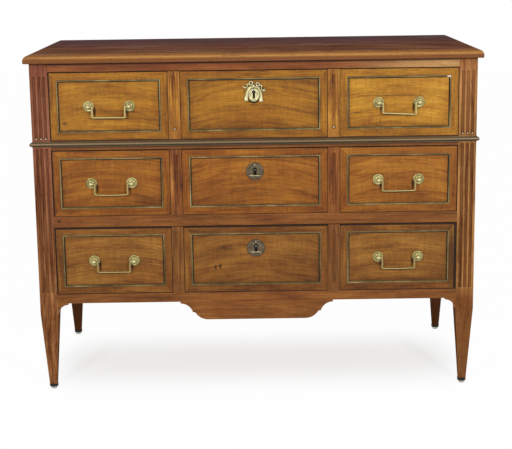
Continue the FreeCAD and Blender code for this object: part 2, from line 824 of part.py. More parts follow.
def drawer_side(name, z, back_z):
    """A right-hand drawer side: lapped dovetails in front, through dovetails behind."""
    body = new_body(name)
    sketch = new_sketch(body, f"{name}_outline", "YZ_Plane", ("0", "0", DRAWER_IN))
    steps = [
        (FRONT_INNER, z[0]),
        (DRAWER_REAR, z[0]),
        (DRAWER_REAR, back_z[0]),
        (REAR_SHOULDER, back_z[0]),
        *tails(REAR_SHOULDER, DRAWER_REAR, back_z),
        (REAR_SHOULDER, back_z[1]),
        (DRAWER_REAR, back_z[1]),
        (DRAWER_REAR, z[1]),
        (FRONT_INNER, z[1]),
        *reversed(tails(FRONT_INNER, f"({FRONT} + lap_thick)", z)),
    ]
    draw(sketch, steps)
    pad(body, f"{name}_board", sketch, "side_thick")
    return body


def panel_frame(name, x, z):
    """A brass frame of rounded strip, seated in the corner of a sunk panel."""
    body = new_body(name)
    sketch = new_sketch(body, f"{name}_outline", "XZ_Plane", ("0", "0", f"-{PANEL_FLOOR}"))
    draw(sketch, rectangle(x, z))
    draw(sketch, rectangle(shrunk(x, "moulding_width"), shrunk(z, "moulding_width")))
    strip = pad(body, f"{name}_strip", sketch, "moulding_height")
    crest = f"{PANEL_FLOOR} - moulding_height"
    round_edges(body, f"{name}_round", strip, "moulding_round",
                lambda points: all(same(point.y, crest) for point in points))
    return body


def make_keyhole(tag, key_z):
    """Keyhole cutter, through the escutcheon and the drawer front into the lock."""
    start = f"({PANEL_FLOOR} - ball_reach)"
    length = f"{KEYWAY_END} - {start}"
    eye = rod(f"key_eye_{tag}", "keyhole_radius", length, ("0", start, key_z), ALONG_Y)
    slot_x = both_sides("(keyhole_slot / 2)")
    slot = block(f"key_slot_{tag}", slot_x, (start, KEYWAY_END), (f"({key_z} - keyhole_tail)", key_z))
    return fuse(f"keyhole_{tag}", [eye, slot])


def make_lock(tag, high, key_z, keyhole):
    """A lock let into the back of the drawer front, with its pin and its sliding bolt."""
    x = both_sides("(lock_width / 2)")
    z = (f"({high} - lock_height)", high)
    case = block(f"lock_{tag}_body", x, LOCK_Y, z)
    bolt_z = (f"({high} - bolt_height)", high)
    piece(f"lock_bolt_{tag}", block(f"lock_bolt_{tag}", BOLT_X, BOLT_Y, bolt_z))
    channel_z = (f"({bolt_z[0]} - bolt_clearance)", f"({high} + bolt_throw)")
    room = "bolt_clearance"
    channel = block(f"bolt_channel_{tag}", grown(BOLT_X, room), grown(BOLT_Y, room), channel_z)
    hollow = cut(f"lock_{tag}_hollow", case, [channel, keyhole])
    tip = f"({PANEL_FLOOR} - plate_edge)"
    pin = rod(f"key_pin_{tag}", "key_pin_radius", f"{KEYWAY_END} - {tip}", ("0", tip, key_z), ALONG_Y)
    piece(f"lock_case_{tag}", fuse(f"lock_case_{tag}", [hollow, pin]))
    mortise_y = (LOCK_Y[0], f"({LOCK_Y[1]} + joint_clearance)")
    return block(f"lock_{tag}_mortise", grown(x), mortise_y, grown(z))


def round_escutcheon(tag, key_z, keyhole):
    """A turned plate with a raised rim and a gently domed middle."""
    crest = "(plate_radius - plate_rim_width / 2)"
    inner = "(plate_radius - plate_rim_width)"
    profile = [
        ("0", PANEL_FLOOR),
        ("plate_radius", PANEL_FLOOR),
        ("plate_radius", f"{PANEL_FLOOR} - plate_edge"),
        (crest, f"{PANEL_FLOOR} - plate_rim_thick", "right", crest),
        (inner, f"{PANEL_FLOOR} - plate_edge", "right", crest),
        ("0", f"{PANEL_FLOOR} - plate_crown", "right", "0"),
    ]
    plate = turned(f"plate_{tag}", "XY_Plane", ("0", "0", f"({key_z} - plate_drop)"), profile)
    piece(f"escutcheon_{tag}", cut(f"escutcheon_{tag}", plate, [keyhole]))


def egg(inset):
    """Outline of the cast shield, drawn in by an inset."""
    side = f"(shield_half_width - {inset})"
    top = f"(shield_top - {inset})"
    foot = f"({inset} - shield_bottom)"
    return [(side, "0", "left", "0"), ("0", top, "left", "0"),
            (f"(-{side})", "0", "left", "0"), ("0", foot, "left", "0")]


def cast_escutcheon(tag, key_z, keyhole):
    """A rimmed shield under a ribbon bow, with a swag hanging on each side."""
    shift = ("0", key_z, f"-{PANEL_FLOOR}")
    body = new_body(f"shield_{tag}")
    outline = new_sketch(body, "shield_outline", "XZ_Plane", shift)
    draw(outline, egg("0"))
    pad(body, "shield_plate", outline, "shield_thick")
    sunk = new_sketch(body, "shield_sunk_outline", "XZ_Plane", (*shift[:2], f"{shift[2]} + shield_thick"))
    draw(sunk, egg("shield_rim"))
    hollow = body.newObject("PartDesign::Pocket", "shield_hollow")
    hollow.Profile = sunk
    hollow.setExpression("Length", cell("shield_sink"))
    bow_y = f"({PANEL_FLOOR} - bow_wire_radius)"
    loop = doc.addObject("Part::Torus", "bow_loop")
    loop.Placement.Rotation = ALONG_Y
    loop.setExpression("Radius1", cell("bow_radius"))
    loop.setExpression("Radius2", cell("bow_wire_radius"))
    place(loop, ("bow_half_spacing", bow_y, f"{key_z} + bow_raise"))
    knot_at = ("0", bow_y, f"({key_z} + knot_raise)")
    knot = ball("bow_knot", "knot_radius", knot_at)
    ribbon_turn = Rotation(Vector(0, 1, 0), RIBBON_SLOPE)
    ribbon = rod("bow_ribbon", "ribbon_radius", "ribbon_length", knot_at, ribbon_turn)
    swag_foot = ("swag_half_spacing", bow_y, f"({key_z} - swag_foot_drop)")
    swag = doc.addObject("Part::Cone", "swag_drop")
    swag.setExpression("Radius1", cell("swag_foot_radius"))
    swag.setExpression("Radius2", cell("swag_head_radius"))
    swag.setExpression("Height", cell("swag_length"))
    place(swag, swag_foot)
    tassel = ball("swag_tassel", "swag_foot_radius", swag_foot)
    right = [loop, ribbon, swag, tassel]
    relief = fuse(f"relief_{tag}", [body, knot] + right + [mirrored(shape) for shape in right])
    reach = both_sides("(centre_panel_width / 2)")
    behind = block("relief_back", reach, (PANEL_FLOOR, FRONT_INNER), about(key_z, "key_drop"))
    piece(f"escutcheon_{tag}", cut(f"escutcheon_{tag}", relief, [behind, keyhole]))


def make_handle(tag, middle_z):
    """A swinging bail between two posts with rosettes; returns the holes for its posts."""
    rosettes = []
    posts = []
    nuts = []
    holes = []
    for end, inward in (("inner", 1), ("outer", -1)):
        x = f"({HANDLE_X} - {inward} * handle_spacing / 2)"
        name = f"{end}_{tag}"
        hole_radius = "(neck_radius + joint_clearance)"
        rosettes.append(turned(f"rosette_{name}", "XY_Plane", (x, "0", middle_z), [
            (hole_radius, PANEL_FLOOR),
            ("rosette_radius", PANEL_FLOOR),
            ("rosette_radius", f"{PANEL_FLOOR} - rosette_edge"),
            ("rosette_crest_radius", f"{PANEL_FLOOR} - rosette_crest"),
            ("rosette_valley_radius", f"{PANEL_FLOOR} - rosette_valley"),
            ("rosette_boss_radius", f"{PANEL_FLOOR} - rosette_thick"),
            (hole_radius, f"{PANEL_FLOOR} - rosette_thick"),
        ]))
        at = (x, BALL_Y, middle_z)
        head = ball(f"post_ball_{name}", "ball_radius", at)
        neck = rod(f"post_neck_{name}", "neck_radius", "ball_reach", at, ALONG_Y)
        shank_length = f"{FRONT_INNER} + nut_thick - {BALL_Y}"
        shank = rod(f"post_shank_{name}", "shank_radius", shank_length, at, ALONG_Y)
        bore_start = f"({x} - pin_end_gap)" if inward > 0 else f"({x} + pin_end_gap - 2 * ball_radius)"
        bore_radius = "bail_radius + pin_clearance"
        bore = rod(f"pin_bore_{name}", bore_radius, "2 * ball_radius", (bore_start, *at[1:]), ALONG_X)
        posts.append(cut(f"handle_post_{name}", fuse(f"post_blank_{name}", [head, neck, shank]), [bore]))
        clear_radius = "shank_radius + joint_clearance"
        hole = rod(f"post_hole_{name}", clear_radius, shank_length, at, ALONG_Y)
        holes += [hole, mirrored(hole)]
        nut = doc.addObject("Part::Prism", f"nut_blank_{name}")
        nut.Polygon = NUT_SIDES
        nut.Placement.Rotation = ALONG_Y
        nut.setExpression("Circumradius", cell("nut_radius"))
        nut.setExpression("Height", cell("nut_thick"))
        place(nut, (x, FRONT_INNER, middle_z))
        nuts.append(cut(f"nut_{name}", nut, [hole]))
    piece(f"handle_rosettes_{tag}", pairs(f"handle_rosettes_{tag}", rosettes))
    piece(f"handle_posts_{tag}", pairs(f"handle_posts_{tag}", posts + nuts))
    bail = make_bail(tag, middle_z)
    piece(f"bail_right_{tag}", bail)
    piece(f"bail_left_{tag}", mirrored(bail))
    return holes


def make_bail(tag, middle_z):
    """A bent rod with out-turned ends that sit in the balls of the posts."""
    body = new_body(f"bail_{tag}")
    path = new_sketch(body, f"bail_path_{tag}", "XZ_Plane", (HANDLE_X, middle_z, f"-{BALL_Y}"))
    end = "(handle_spacing / 2)"
    leg = "(bail_leg_spacing / 2)"
    right = [
        (f"({leg} - bail_bend)", "-bail_drop"),
        (leg, "bail_bend - bail_drop", "left", f"({leg} - bail_bend)"),
        (leg, "-bail_bend"),
        (f"({leg} + bail_bend)", "0", "right", f"({leg} + bail_bend)"),
        (end, "0"),
    ]
    draw(path, reflected(right) + right, closed=False)
    profile_shift = (BALL_Y, middle_z, f"{HANDLE_X} - handle_spacing / 2")
    profile = new_sketch(body, f"bail_section_{tag}", "YZ_Plane", profile_shift)
    draw_circle(profile, "bail_radius")
    sweep(body, f"bail_rod_{tag}", profile, path)
    return body


def make_pilasters(tag, z):
    """Fluted strips between the panels; returns the channels they are let into."""
    y = (f"({FRONT} - pilaster_proud)", f"({FRONT} + pilaster_bed)")
    axis_y = flute_axis(y[0], "pilaster_flute_radius", "pilaster_flute_depth")
    flute_z = (f"({z[0]} + pilaster_flute_foot)", f"({z[1]} - pilaster_flute_head)")
    middle = halfway(PILASTER_X)
    groove = make_flute(f"pilaster_flute_{tag}", middle, axis_y, "pilaster_flute_radius", flute_z)
    strip = cut(f"pilaster_{tag}", block(f"pilaster_blank_{tag}", PILASTER_X, y, z), [groove])
    piece(f"pilasters_{tag}", pairs(f"pilasters_{tag}", [strip]))
    if tag == "top":
        radii = ("pilaster_flute_radius", "pilaster_bead_radius")
        bead = make_bead(f"pilaster_bead_{tag}", middle, axis_y, *radii, flute_z[0])
        piece(f"pilaster_beads_{tag}", pairs(f"pilaster_beads_{tag}", [bead]))
    bed_y = (CLEAR_OF_FRONT, y[1])
    channel = block(f"pilaster_channel_{tag}", grown(PILASTER_X, "pilaster_gap"), bed_y, grown(z))
    return [channel, mirrored(channel)]


def make_drawer(tag, opening, make_escutcheon):
    """One drawer: a dovetailed box behind a front with three framed panels."""
    z = (f"({opening[0]} + run_clearance)", f"({opening[1]} - head_gap)")
    side_z = (z[0], f"({z[1]} - side_drop)")
    bottom_low = f"({z[0]} + bottom_raise)"
    bottom_z = (bottom_low, f"({bottom_low} + bottom_thick)")
    back_z = (bottom_z[1], f"({side_z[1]} - drawer_back_drop)")
    tongue = "(bottom_groove - joint_clearance)"
    bottom_x = both_sides(f"({DRAWER_IN} + {tongue})")
    bottom = block(f"drawer_bottom_{tag}", bottom_x, (f"({FRONT_INNER} - {tongue})", DRAWER_REAR), bottom_z)
    piece(f"drawer_bottom_{tag}", bottom)
    groove_y = (f"({FRONT_INNER} - bottom_groove)", DRAWER_REAR)
    groove = block(f"bottom_groove_{tag}", grown(bottom_x), groove_y, grown(bottom_z))
    side_blank = drawer_side(f"side_blank_{tag}", side_z, back_z)
    sides = [side_blank, mirrored(side_blank)]
    piece(f"drawer_sides_{tag}", pairs(f"drawer_sides_{tag}", [cut(f"drawer_side_{tag}", side_blank, [groove])]))
    back = block(f"back_blank_{tag}", both_sides(DRAWER_OUT), (REAR_SHOULDER, DRAWER_REAR), back_z)
    piece(f"drawer_back_{tag}", cut(f"drawer_back_{tag}", back, sides))

    panel_z = shrunk(z, "frame_width")
    recess_y = (CLEAR_OF_FRONT, PANEL_FLOOR)
    side_recess = block(f"side_recess_{tag}", SIDE_PANEL_X, recess_y, panel_z)
    recesses = [block(f"centre_recess_{tag}", CENTRE_PANEL_X, recess_y, panel_z), side_recess, mirrored(side_recess)]
    side_frame = panel_frame(f"side_frame_{tag}", SIDE_PANEL_X, panel_z)
    frames = [panel_frame(f"centre_frame_{tag}", CENTRE_PANEL_X, panel_z), side_frame, mirrored(side_frame)]
    piece(f"panel_mouldings_{tag}", group(f"panel_mouldings_{tag}", frames))

    key_z = f"({opening[1]} - key_drop)"
    keyhole = make_keyhole(tag, key_z)
    make_escutcheon(tag, key_z, keyhole)
    openings = [make_lock(tag, z[1], key_z, keyhole), keyhole, groove]
    openings += make_pilasters(tag, z) + make_handle(tag, halfway(z))
    front = block(f"front_blank_{tag}", both_sides(DRAWER_OUT), (FRONT, FRONT_INNER), z)
    piece(f"drawer_front_{tag}", cut(f"drawer_front_{tag}", front, sides + recesses + openings))


def check_and_write():
    """Stop on any failed or broken shape, then write one file for each sub-part."""
    doc.recompute()
    failed = [item.Label for item in doc.Objects if {"Invalid", "Error"} & set(item.State)]
    broken = [label for label, item in pieces.items() if item.Shape.isNull() or not item.Shape.isValid()]
    if failed or broken:
        raise RuntimeError(f"failed objects: {failed}, broken shapes: {broken}")
    os.makedirs("parts", exist_ok=True)
    for label, item in pieces.items():
        item.Shape.exportStep(f"parts/{label}.step")
    solids = sum(len(item.Shape.Solids) for item in pieces.values())
    print(f"{len(pieces)} nodes, {solids} solids")


make_top_board()
front_mortises = make_front_rails(make_runners())
side_cutters = make_sides()
make_post("post_front", (FRONT, SIDE_SPAN_Y[0]), front_mortises + side_cutters + make_post_flutes())
make_post("post_rear", (SIDE_SPAN_Y[1], BACK), side_cutters + make_back())
make_feet()
make_waist_moulding()
make_drawer("top", TOP_OPENING, cast_escutcheon)
make_drawer("middle", MIDDLE_OPENING, round_escutcheon)
make_drawer("bottom", BOTTOM_OPENING, round_escutcheon)
check_and_write()
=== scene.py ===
# Three-drawer commode in waxed walnut with brass mounts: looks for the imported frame, in metres.
import math
from functools import partial
import bmesh
import bpy
from mathutils import Euler, Matrix, Vector


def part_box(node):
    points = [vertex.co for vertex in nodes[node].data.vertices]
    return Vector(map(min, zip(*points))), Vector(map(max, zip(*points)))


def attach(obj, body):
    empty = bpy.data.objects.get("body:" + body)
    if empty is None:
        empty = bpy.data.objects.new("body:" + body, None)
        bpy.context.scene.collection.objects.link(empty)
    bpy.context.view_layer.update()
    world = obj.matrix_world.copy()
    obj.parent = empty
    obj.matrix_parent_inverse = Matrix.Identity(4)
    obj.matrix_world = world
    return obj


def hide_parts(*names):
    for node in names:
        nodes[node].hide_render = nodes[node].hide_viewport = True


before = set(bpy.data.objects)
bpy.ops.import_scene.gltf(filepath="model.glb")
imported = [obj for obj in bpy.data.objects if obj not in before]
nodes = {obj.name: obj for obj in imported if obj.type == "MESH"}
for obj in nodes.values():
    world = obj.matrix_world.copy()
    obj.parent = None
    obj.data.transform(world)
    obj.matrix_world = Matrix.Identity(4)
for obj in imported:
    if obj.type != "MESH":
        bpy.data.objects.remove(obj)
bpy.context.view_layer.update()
scene = bpy.context.scene
scene.view_settings.view_transform = "Standard"
mm = 0.001
drawers = ("top", "middle", "bottom")
print("frame loaded:", len(nodes), "nodes")


def linear(hexColour):
    channels = [int(hexColour[i:i + 2], 16) / 255 for i in (1, 3, 5)]
    return [c / 12.92 if c <= 0.04045 else ((c + 0.055) / 1.055) ** 2.4 for c in channels] + [1.0]


# Links each value that is a socket and sets the others; a hex colour is made linear.
def feed(tree, node, values):
    for key, value in values.items() if isinstance(values, dict) else enumerate(values):
        if isinstance(value, bpy.types.NodeSocket):
            tree.links.new(value, node.inputs[key])
        else:
            node.inputs[key].default_value = linear(value) if isinstance(value, str) else value


# Adds one node with its settings and links, a Math node where only the operation is named. Inputs go by
# name or in order: for MapRange the value, where it begins, where it is full, and what it gives at both.
# Gives back one output, or all of them for None.
def put(tree, kind, inputs=(), stops=(), out=0, **settings):
    name, _, operation = ("Math " + kind if kind.isupper() else kind).partition(" ")
    node = tree.nodes.new("ShaderNode" + name)
    if operation:
        node.operation = operation
    for key, value in settings.items():
        setattr(node, key, value)
    feed(tree, node, inputs)
    for i, (position, colour) in enumerate(stops):
        band = node.color_ramp.elements
        stop = band[i] if i < len(band) else band.new(position)
        stop.position = position
        stop.color = linear(colour) if isinstance(colour, str) else (colour, colour, colour, 1.0)
    return node.outputs if out is None else node.outputs[out]


def newFinish(name):
    finish = bpy.data.materials.new(name)
    finish.use_nodes = True
    return finish, finish.node_tree, partial(put, finish.node_tree)


# The figure of a board, from its place along, across and into the timber: growth lines round a wandering
# heart, fibres, curl, slow clouds of tone and open pores. Gives back tone, fibre, pore and blush.
def boardFigure(add, along, across, depth, seed, grain):
    place = add("CombineXYZ", (along, across, depth))
    layer = {}
    for name, sizes in grain["sizes"].items():
        spread = add("VectorMath MULTIPLY", (place, [1 / (size * mm) for size in sizes]))
        noise = {"Vector": spread, "W": seed, "Scale": 1.0, "Roughness": 0.58}
        noise["Detail"] = grain["detail"][name]
        part = "Color" if name == "drift" else "Fac"
        layer[name] = add("TexNoise", noise, out=part, noise_dimensions="4D")
    lean = add("SeparateXYZ", (layer["drift"],), out=None)
    wander = grain["wander"] * mm
    side = add("MULTIPLY_ADD", (lean[0], wander, across))
    heart = add("MULTIPLY_ADD", (lean[1], wander, depth))
    heart = add("SUBTRACT", (heart, grain["heart"] * mm))
    radius = add("VectorMath LENGTH", (add("CombineXYZ", (side, heart, 0.0)),), out="Value")
    phase = add("MULTIPLY", (radius, 1 / (grain["rings"] * mm)))
    phase = add("MULTIPLY_ADD", (layer["ripple"], grain["rippling"], phase))
    ring = add("ValToRGB", (add("FRACT", (phase,)),), grain["ringTones"])
    strength = grain["depth"]["ring"]
    tone = add("MULTIPLY_ADD", (ring, strength, 0.5 - 0.5 * strength))
    for name in ("fibre", "streak", "cloud", "curl"):
        offCentre = add("SUBTRACT", (layer[name], 0.5))
        tone = add("MULTIPLY_ADD", (offCentre, grain["depth"][name], tone))
    pore = add("ValToRGB", (layer["pore"],), grain["pores"])
    blush = add("ValToRGB", (layer["blush"],), grain["blushes"])
    return tone, layer["fibre"], pore, blush


# Sizes in millimetres along, across and into the board. Fibres and pores are drawn two to four times
# as coarse as real ones, because one pixel of the picture covers more than two millimetres.
walnutGrain = {
    "sizes": {
        "drift": (300, 130, 130), "ripple": (110, 14, 14), "fibre": (70, 2.6, 2.6), "streak": (150, 7, 7),
        "cloud": (170, 48, 48), "curl": (9, 60, 60), "pore": (16, 1.4, 1.4), "blush": (90, 45, 45)},
    "detail": {
        "drift": 1, "ripple": 3, "fibre": 3, "streak": 3, "cloud": 2, "curl": 2, "pore": 1, "blush": 3},
    "depth": {"ring": 0.36, "fibre": 0.75, "streak": 0.75, "cloud": 0.9, "curl": 0.16},
    "ringTones": ((0, 0.5), (0.25, 0.62), (0.7, 0.52), (0.9, 0.12), (1, 0.5)),  # a year ends in a dark line
    "pores": ((0.32, 1.0), (0.40, 0.0)), "blushes": ((0.46, 0.0), (0.66, 1.0)),
    "wander": 80, "heart": 150, "rings": 17, "rippling": 2.2, "poreDark": 0.45}
oakGrain = walnutGrain | {
    "sizes": walnutGrain["sizes"] | {"streak": (220, 5, 5), "fibre": (90, 2.2, 2.2), "pore": (26, 1.3, 1.3)},
    "depth": {"ring": 0.5, "fibre": 0.6, "streak": 0.7, "cloud": 0.6, "curl": 0.05}, "rings": 7, "wander": 50}
railGrain = walnutGrain | {"depth": {"ring": 0.25, "fibre": 0.5, "streak": 0.5, "cloud": 0.7, "curl": 0.1}}
postGrain = walnutGrain | {"depth": walnutGrain["depth"] | {"streak": 1.0, "fibre": 1.0}}
veneerGrain = walnutGrain | {
    "sizes": walnutGrain["sizes"] | {"curl": (5.5, 34, 34)}, "rings": 38,
    "depth": {"ring": 0.38, "fibre": 0.62, "streak": 0.42, "cloud": 0.72, "curl": 0.3}}
axisOrder = {"x": (0, 2, 1), "y": (1, 2, 0), "z": (2, 0, 1)}
# Where the four tones lie on the figure, how far an arris is rubbed and how far a corner is shut.
woodSteps = {"tones": (0.15, 0.42, 0.62, 0.88), "arris": ((0.74, 1.0), (0.97, 0.0)),
             "corner": ((0.3, 1.0), (0.62, 0.35), (0.9, 0.0))}


# Colour, red blush, pores, rubbed arrises, grime and painted shade in the corners, gloss and relief of a
# wooden surface.
def dressWood(tree, figure, look, shades=(), lines=None):
    add = partial(put, tree)
    tone, fibre, pore, blush = figure
    colour = add("ValToRGB", (tone,), zip(woodSteps["tones"], look["tones"]))
    redder = {"Factor": add("MULTIPLY", (blush, look["blush"])), "A": colour, "B": look["blushTone"]}
    colour = add("Mix", redder, out="Result", data_type="RGBA", blend_type="MULTIPLY")
    dark = add("MULTIPLY", (pore, look["grain"]["poreDark"]))
    eased = add("Bevel", {"Radius": look["wornEdge"] * mm}, samples=4)
    bend = add("VectorMath DOT_PRODUCT", (eased, add("NewGeometry", out="Normal")), out="Value")
    rubbedAndHighlight = add("ValToRGB", (bend,), woodSteps["arris"])
    rubbedAndHighlight = add("MULTIPLY", (rubbedAndHighlight, add("MULTIPLY", (fibre, 2.0 * look["wear"]))))
    # Grime and painted shade: darker where other parts shut the surface in.
    opening = add("AmbientOcclusion", {"Distance": look["grimeAndShadeReach"] * mm}, out="AO", samples=6)
    grimeAndShade = add("MULTIPLY", (add("ValToRGB", (opening,), woodSteps["corner"]), look["grimeAndShade"]))
    layers = [*shades, (dark, look["poreTone"]), (rubbedAndHighlight, look["wornTone"])]
    if lines:
        layers.append((lines, look["grimeAndShadeTone"]))
    for share, tint in (*layers, (grimeAndShade, look["grimeAndShadeTone"])):
        colour = add("Mix", {"Factor": share, "A": colour, "B": tint}, out="Result", data_type="RGBA")
    gloss = add("MULTIPLY_ADD", (fibre, -look["roughVary"], look["roughness"] + look["roughVary"] / 2))
    gloss = add("MULTIPLY_ADD", (grimeAndShade, look["grimeRough"], gloss))
    height = add("SUBTRACT", (add("MULTIPLY", (fibre, 0.5)), pore))
    relief = add("Bump", {"Height": height, "Distance": look["reliefDepth"] * mm, "Strength": look["relief"]})
    feed(tree, tree.nodes["Principled BSDF"], {
        "Base Color": colour, "Roughness": gloss, "Normal": relief, "Specular IOR Level": look["sheen"]})


markEdge = {"rough": 0.9, "outer": 1.45, "inner": 0.75}  # raggedness and softness, in half sizes of the mark


# Old knots, dents, cracks and chips, and painted shadows: soft spots at (x, z, half length, half height,
# strength), in mm.
def marksAndShadows(add, place, rough, marks):
    worst = None
    for x, z, halfLong, halfTall, strength in marks:
        offset = add("VectorMath SUBTRACT", (place, (x * mm, 0, z * mm)))
        offset = add("VectorMath MULTIPLY", (offset, (1 / (halfLong * mm), 0, 1 / (halfTall * mm))))
        reach = add("VectorMath LENGTH", (offset,), out="Value")
        reach = add("MULTIPLY_ADD", (rough, markEdge["rough"], reach))
        spot = add("MapRange", (reach, markEdge["outer"], markEdge["inner"], 0.0, strength))
        worst = spot if worst is None else add("MAXIMUM", (worst, spot))
    return worst


# A plain board: the grain runs along one axis of the frame, and each node is cut from its own timber.
def boardFinish(name, look):
    finish, tree, add = newFinish(name)
    place = add("TexCoord", out="Object")
    parts = add("SeparateXYZ", (place,), out=None)
    facing = add("SeparateXYZ", (add("NewGeometry", out="Normal"),), out=None)
    seed = add("MULTIPLY", (add("ObjectInfo", out="Random"), look["timbers"]))
    for seam in look.get("seams", ()):  # the next board up is cut from other timber
        seed = add("MULTIPLY_ADD", (add("GREATER_THAN", (parts[2], seam * mm)), look["nextTimber"], seed))
    along, across, depth = (parts[i] for i in axisOrder[look["along"]])
    figure = boardFigure(add, along, across, depth, seed, look["grain"])
    uneven = add("MULTIPLY", (figure[0], 2.0))
    shades = []
    for axis, begin, full, share, tone in look.get("fades", ()):  # a tone that comes in softly along one axis
        ends = (parts[axis], begin * mm, full * mm, 0.0, share)
        faded = add("MapRange", ends, interpolation_type="SMOOTHSTEP")
        shades.append((add("MULTIPLY", (faded, uneven), use_clamp=True), tone))
    if "flutes" in look:  # the lands between the flutes are rubbed pale; the hollows keep their dirt and a painted shade
        cut = look["flutes"]
        within = add("LESS_THAN", (facing[1], cut["facing"]))
        for end, soft in ((cut["foot"], cut["soft"]), (cut["head"], -cut["soft"])):
            inside = add("MapRange", (parts[2], end * mm, (end + soft) * mm))
            within = add("MULTIPLY", (within, inside))
        for depths, share, tone in ((cut["land"], cut["rub"], cut["landTone"]),
                                    (cut["hollow"], cut["dirtAndShade"], cut["hollowTone"])):
            begin, full = ((cut["face"] + behind) * mm for behind in depths)
            band = add("MULTIPLY", (add("MapRange", (parts[1], begin, full, 0.0, share)), within))
            shades.append((add("MULTIPLY", (band, uneven), use_clamp=True), tone))
    if "edge" in look:  # the moulded edge, painted light: paler where its round faces up, browner on the upright below
        turned = add("MapRange", (facing[2], *look["edge"]["turn"]))
        rubbedAndHighlight = add("ValToRGB", (facing[2],), look["edge"]["tones"])
        shades.append((add("MULTIPLY", (turned, uneven), use_clamp=True), rubbedAndHighlight))
    if "scuff" in look:  # pale rubbing left by things set down on the top
        scuff = look["scuff"]
        spread = add("VectorMath MULTIPLY", (place, [1 / (size * mm) for size in scuff["sizes"]]))
        worn = add("TexNoise", {"Vector": spread, "Scale": 1.0, "Detail": 6.0, "Roughness": 0.7}, out="Fac")
        worn = add("MapRange", (worn, *scuff["between"], 0.0, scuff["share"]))
        level = add("GREATER_THAN", (facing[2], scuff["level"]))
        shades.append((add("MULTIPLY", (worn, level)), scuff["tone"]))
    lines = marksAndShadows(add, place, figure[1], look["marks"]) if "marks" in look else None
    dressWood(tree, figure, look, shades, lines)
    return finish


# Walnut, planed, stained and waxed by hand: satin, with dark pores, rubbed arrises, and old wax and painted
# shade in corners.
walnutLook = {
    "grain": walnutGrain, "tones": ("#4a2710", "#6d3e1b", "#834f24", "#9d6832"), "poreTone": "#2a1408",
    "timbers": 40.0, "nextTimber": 5.3, "blush": 0.32, "blushTone": "#d7a489", "wornEdge": 1.6,
    "wornTone": "#b98a52", "wear": 0.5, "grimeAndShadeReach": 16, "grimeAndShade": 0.8, "grimeAndShadeTone": "#1c0d06",
    "grimeRough": 0.2, "roughness": 0.44, "roughVary": 0.16, "sheen": 0.16, "relief": 0.4,
    "reliefDepth": 0.12}
topFinish = boardFinish("darkenedWaxedWalnutTop", walnutLook | {
    "along": "x", "tones": ("#563327", "#7b503d", "#8e6149", "#b28563"), "roughness": 0.6, "sheen": 0.0,
    # Painted reflection: a cool purple tone comes in towards the back.
    "fades": ((1, -150, 220, 0.65, "#5f4a55"),),
    # Painted light on the moulded front edge: its tone follows how far the face turns up.
    "edge": {"turn": (0.995, 0.93),
             "tones": ((0.0, "#744a2c"), (0.25, "#82552d"), (0.55, "#b38148"), (0.9, "#996738"))},
    "scuff": {
        "sizes": (110, 70, 70), "between": (0.56, 0.74), "share": 0.34, "level": 0.99, "tone": "#a58f86"}})
postLook = walnutLook | {
    "grain": postGrain, "sheen": 0.0, "tones": ("#4d2a17", "#71472a", "#885a37", "#a67648"), "along": "z",
    "wear": 0.8, "wornTone": "#b07c48"}
# Lands and hollows are told apart by their depth behind the face, in millimetres.
fluted = {
    "face": -258.0, "foot": 236, "head": 846, "soft": 50, "facing": -0.25, "land": (0.5, 0.1), "rub": 0.1,
    "landTone": "#a5724a", "hollow": (0.4, 1.9), "dirtAndShade": 0.2, "hollowTone": "#3b1d12"}
postFinish = boardFinish("waxedWalnutPost", postLook | {
    "flutes": fluted, "fades": ((2, 250, 700, 0.45, "#7c4842"),)})
# The right post: paler towards its top, painted light, and darker towards the foot.
paintedLightPostFinish = boardFinish("paintedLightWalnutPost", postLook | {
    "flutes": fluted | {"rub": 0.3, "landTone": "#b98c4e", "dirtAndShade": 0.25},
    "fades": ((2, 600, 760, 0.4, "#a97448"), (2, 320, 200, 0.4, "#5a3518"))})
# Rear posts: painted shade, darker towards the foot.
rearPostFinish = boardFinish("shadedWaxedWalnutRearPost", postLook | {
    "fades": ((2, 300, 150, 0.75, "#32180d"),)})
railLook = walnutLook | {
    "grain": railGrain, "along": "x", "tones": ("#4a280e", "#6d4019", "#835122", "#9d6930")}
railFinish = boardFinish("waxedWalnutRail", railLook | {
    "marks": ((-508, 459, 6, 4, 0.9), (-150, 462, 30, 2, 0.35), (260, 452, 26, 2, 0.3))})
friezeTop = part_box("frieze_rail")[1][2] / mm
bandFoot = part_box("waist_moulding")[0][2] / mm
# The frieze: paler towards its right end, a patch partly painted light, and a painted shadow of the top's
# overhang just under it.
friezeFinish = boardFinish("patchedLitShadedWalnutRail", railLook | {
    "tones": ("#4a240d", "#6f3b19", "#834920", "#9b602e"),
    "fades": ((0, 180, 500, 0.78, "#b98f58"), (2, friezeTop - 9, friezeTop - 3, 0.7, "#2a130a"))})
# Painted shadow under the waist band, along the rail's top.
waistFinish = boardFinish("shadedWaxedWalnutRail", railLook | {
    "fades": ((2, bandFoot - 7, bandFoot - 1, 0.7, "#2a130a"),)})
sideFinish = boardFinish("waxedWalnutSide", walnutLook | {
    "along": "y", "sheen": 0.04, "tones": ("#4e2a12", "#73431e", "#8a5528", "#a56f38"), "seams": (657,)})
frontFoot = {tag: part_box("drawer_front_" + tag)[0][2] / mm for tag in drawers}
pilasterTones = {
    "top": ("#562d11", "#85521d", "#a67026", "#c6933f"),
    "middle": ("#451f0e", "#6c3b18", "#865020", "#a87136"),
    "bottom": ("#452410", "#643c19", "#7b4e22", "#9c6c36")}
pilasterFinish = {tag: boardFinish("waxedWalnutStrip_" + tag, walnutLook | {
    "grain": postGrain, "along": "z", "tones": tones, "wear": 0.6, "wornTone": tones[3], "grimeAndShadeReach": 6,
    "grimeAndShade": 0.45, "fades": ((2, frontFoot[tag] + 62, frontFoot[tag] + 8, 0.5, tones[1]),),
    "flutes": fluted | {
        "face": -259.0, "foot": 0, "head": 900, "rub": 0.05, "landTone": tones[3], "dirtAndShade": 0.12,
        "hollowTone": "#3a1c0c"}}) for tag, tones in pilasterTones.items()}

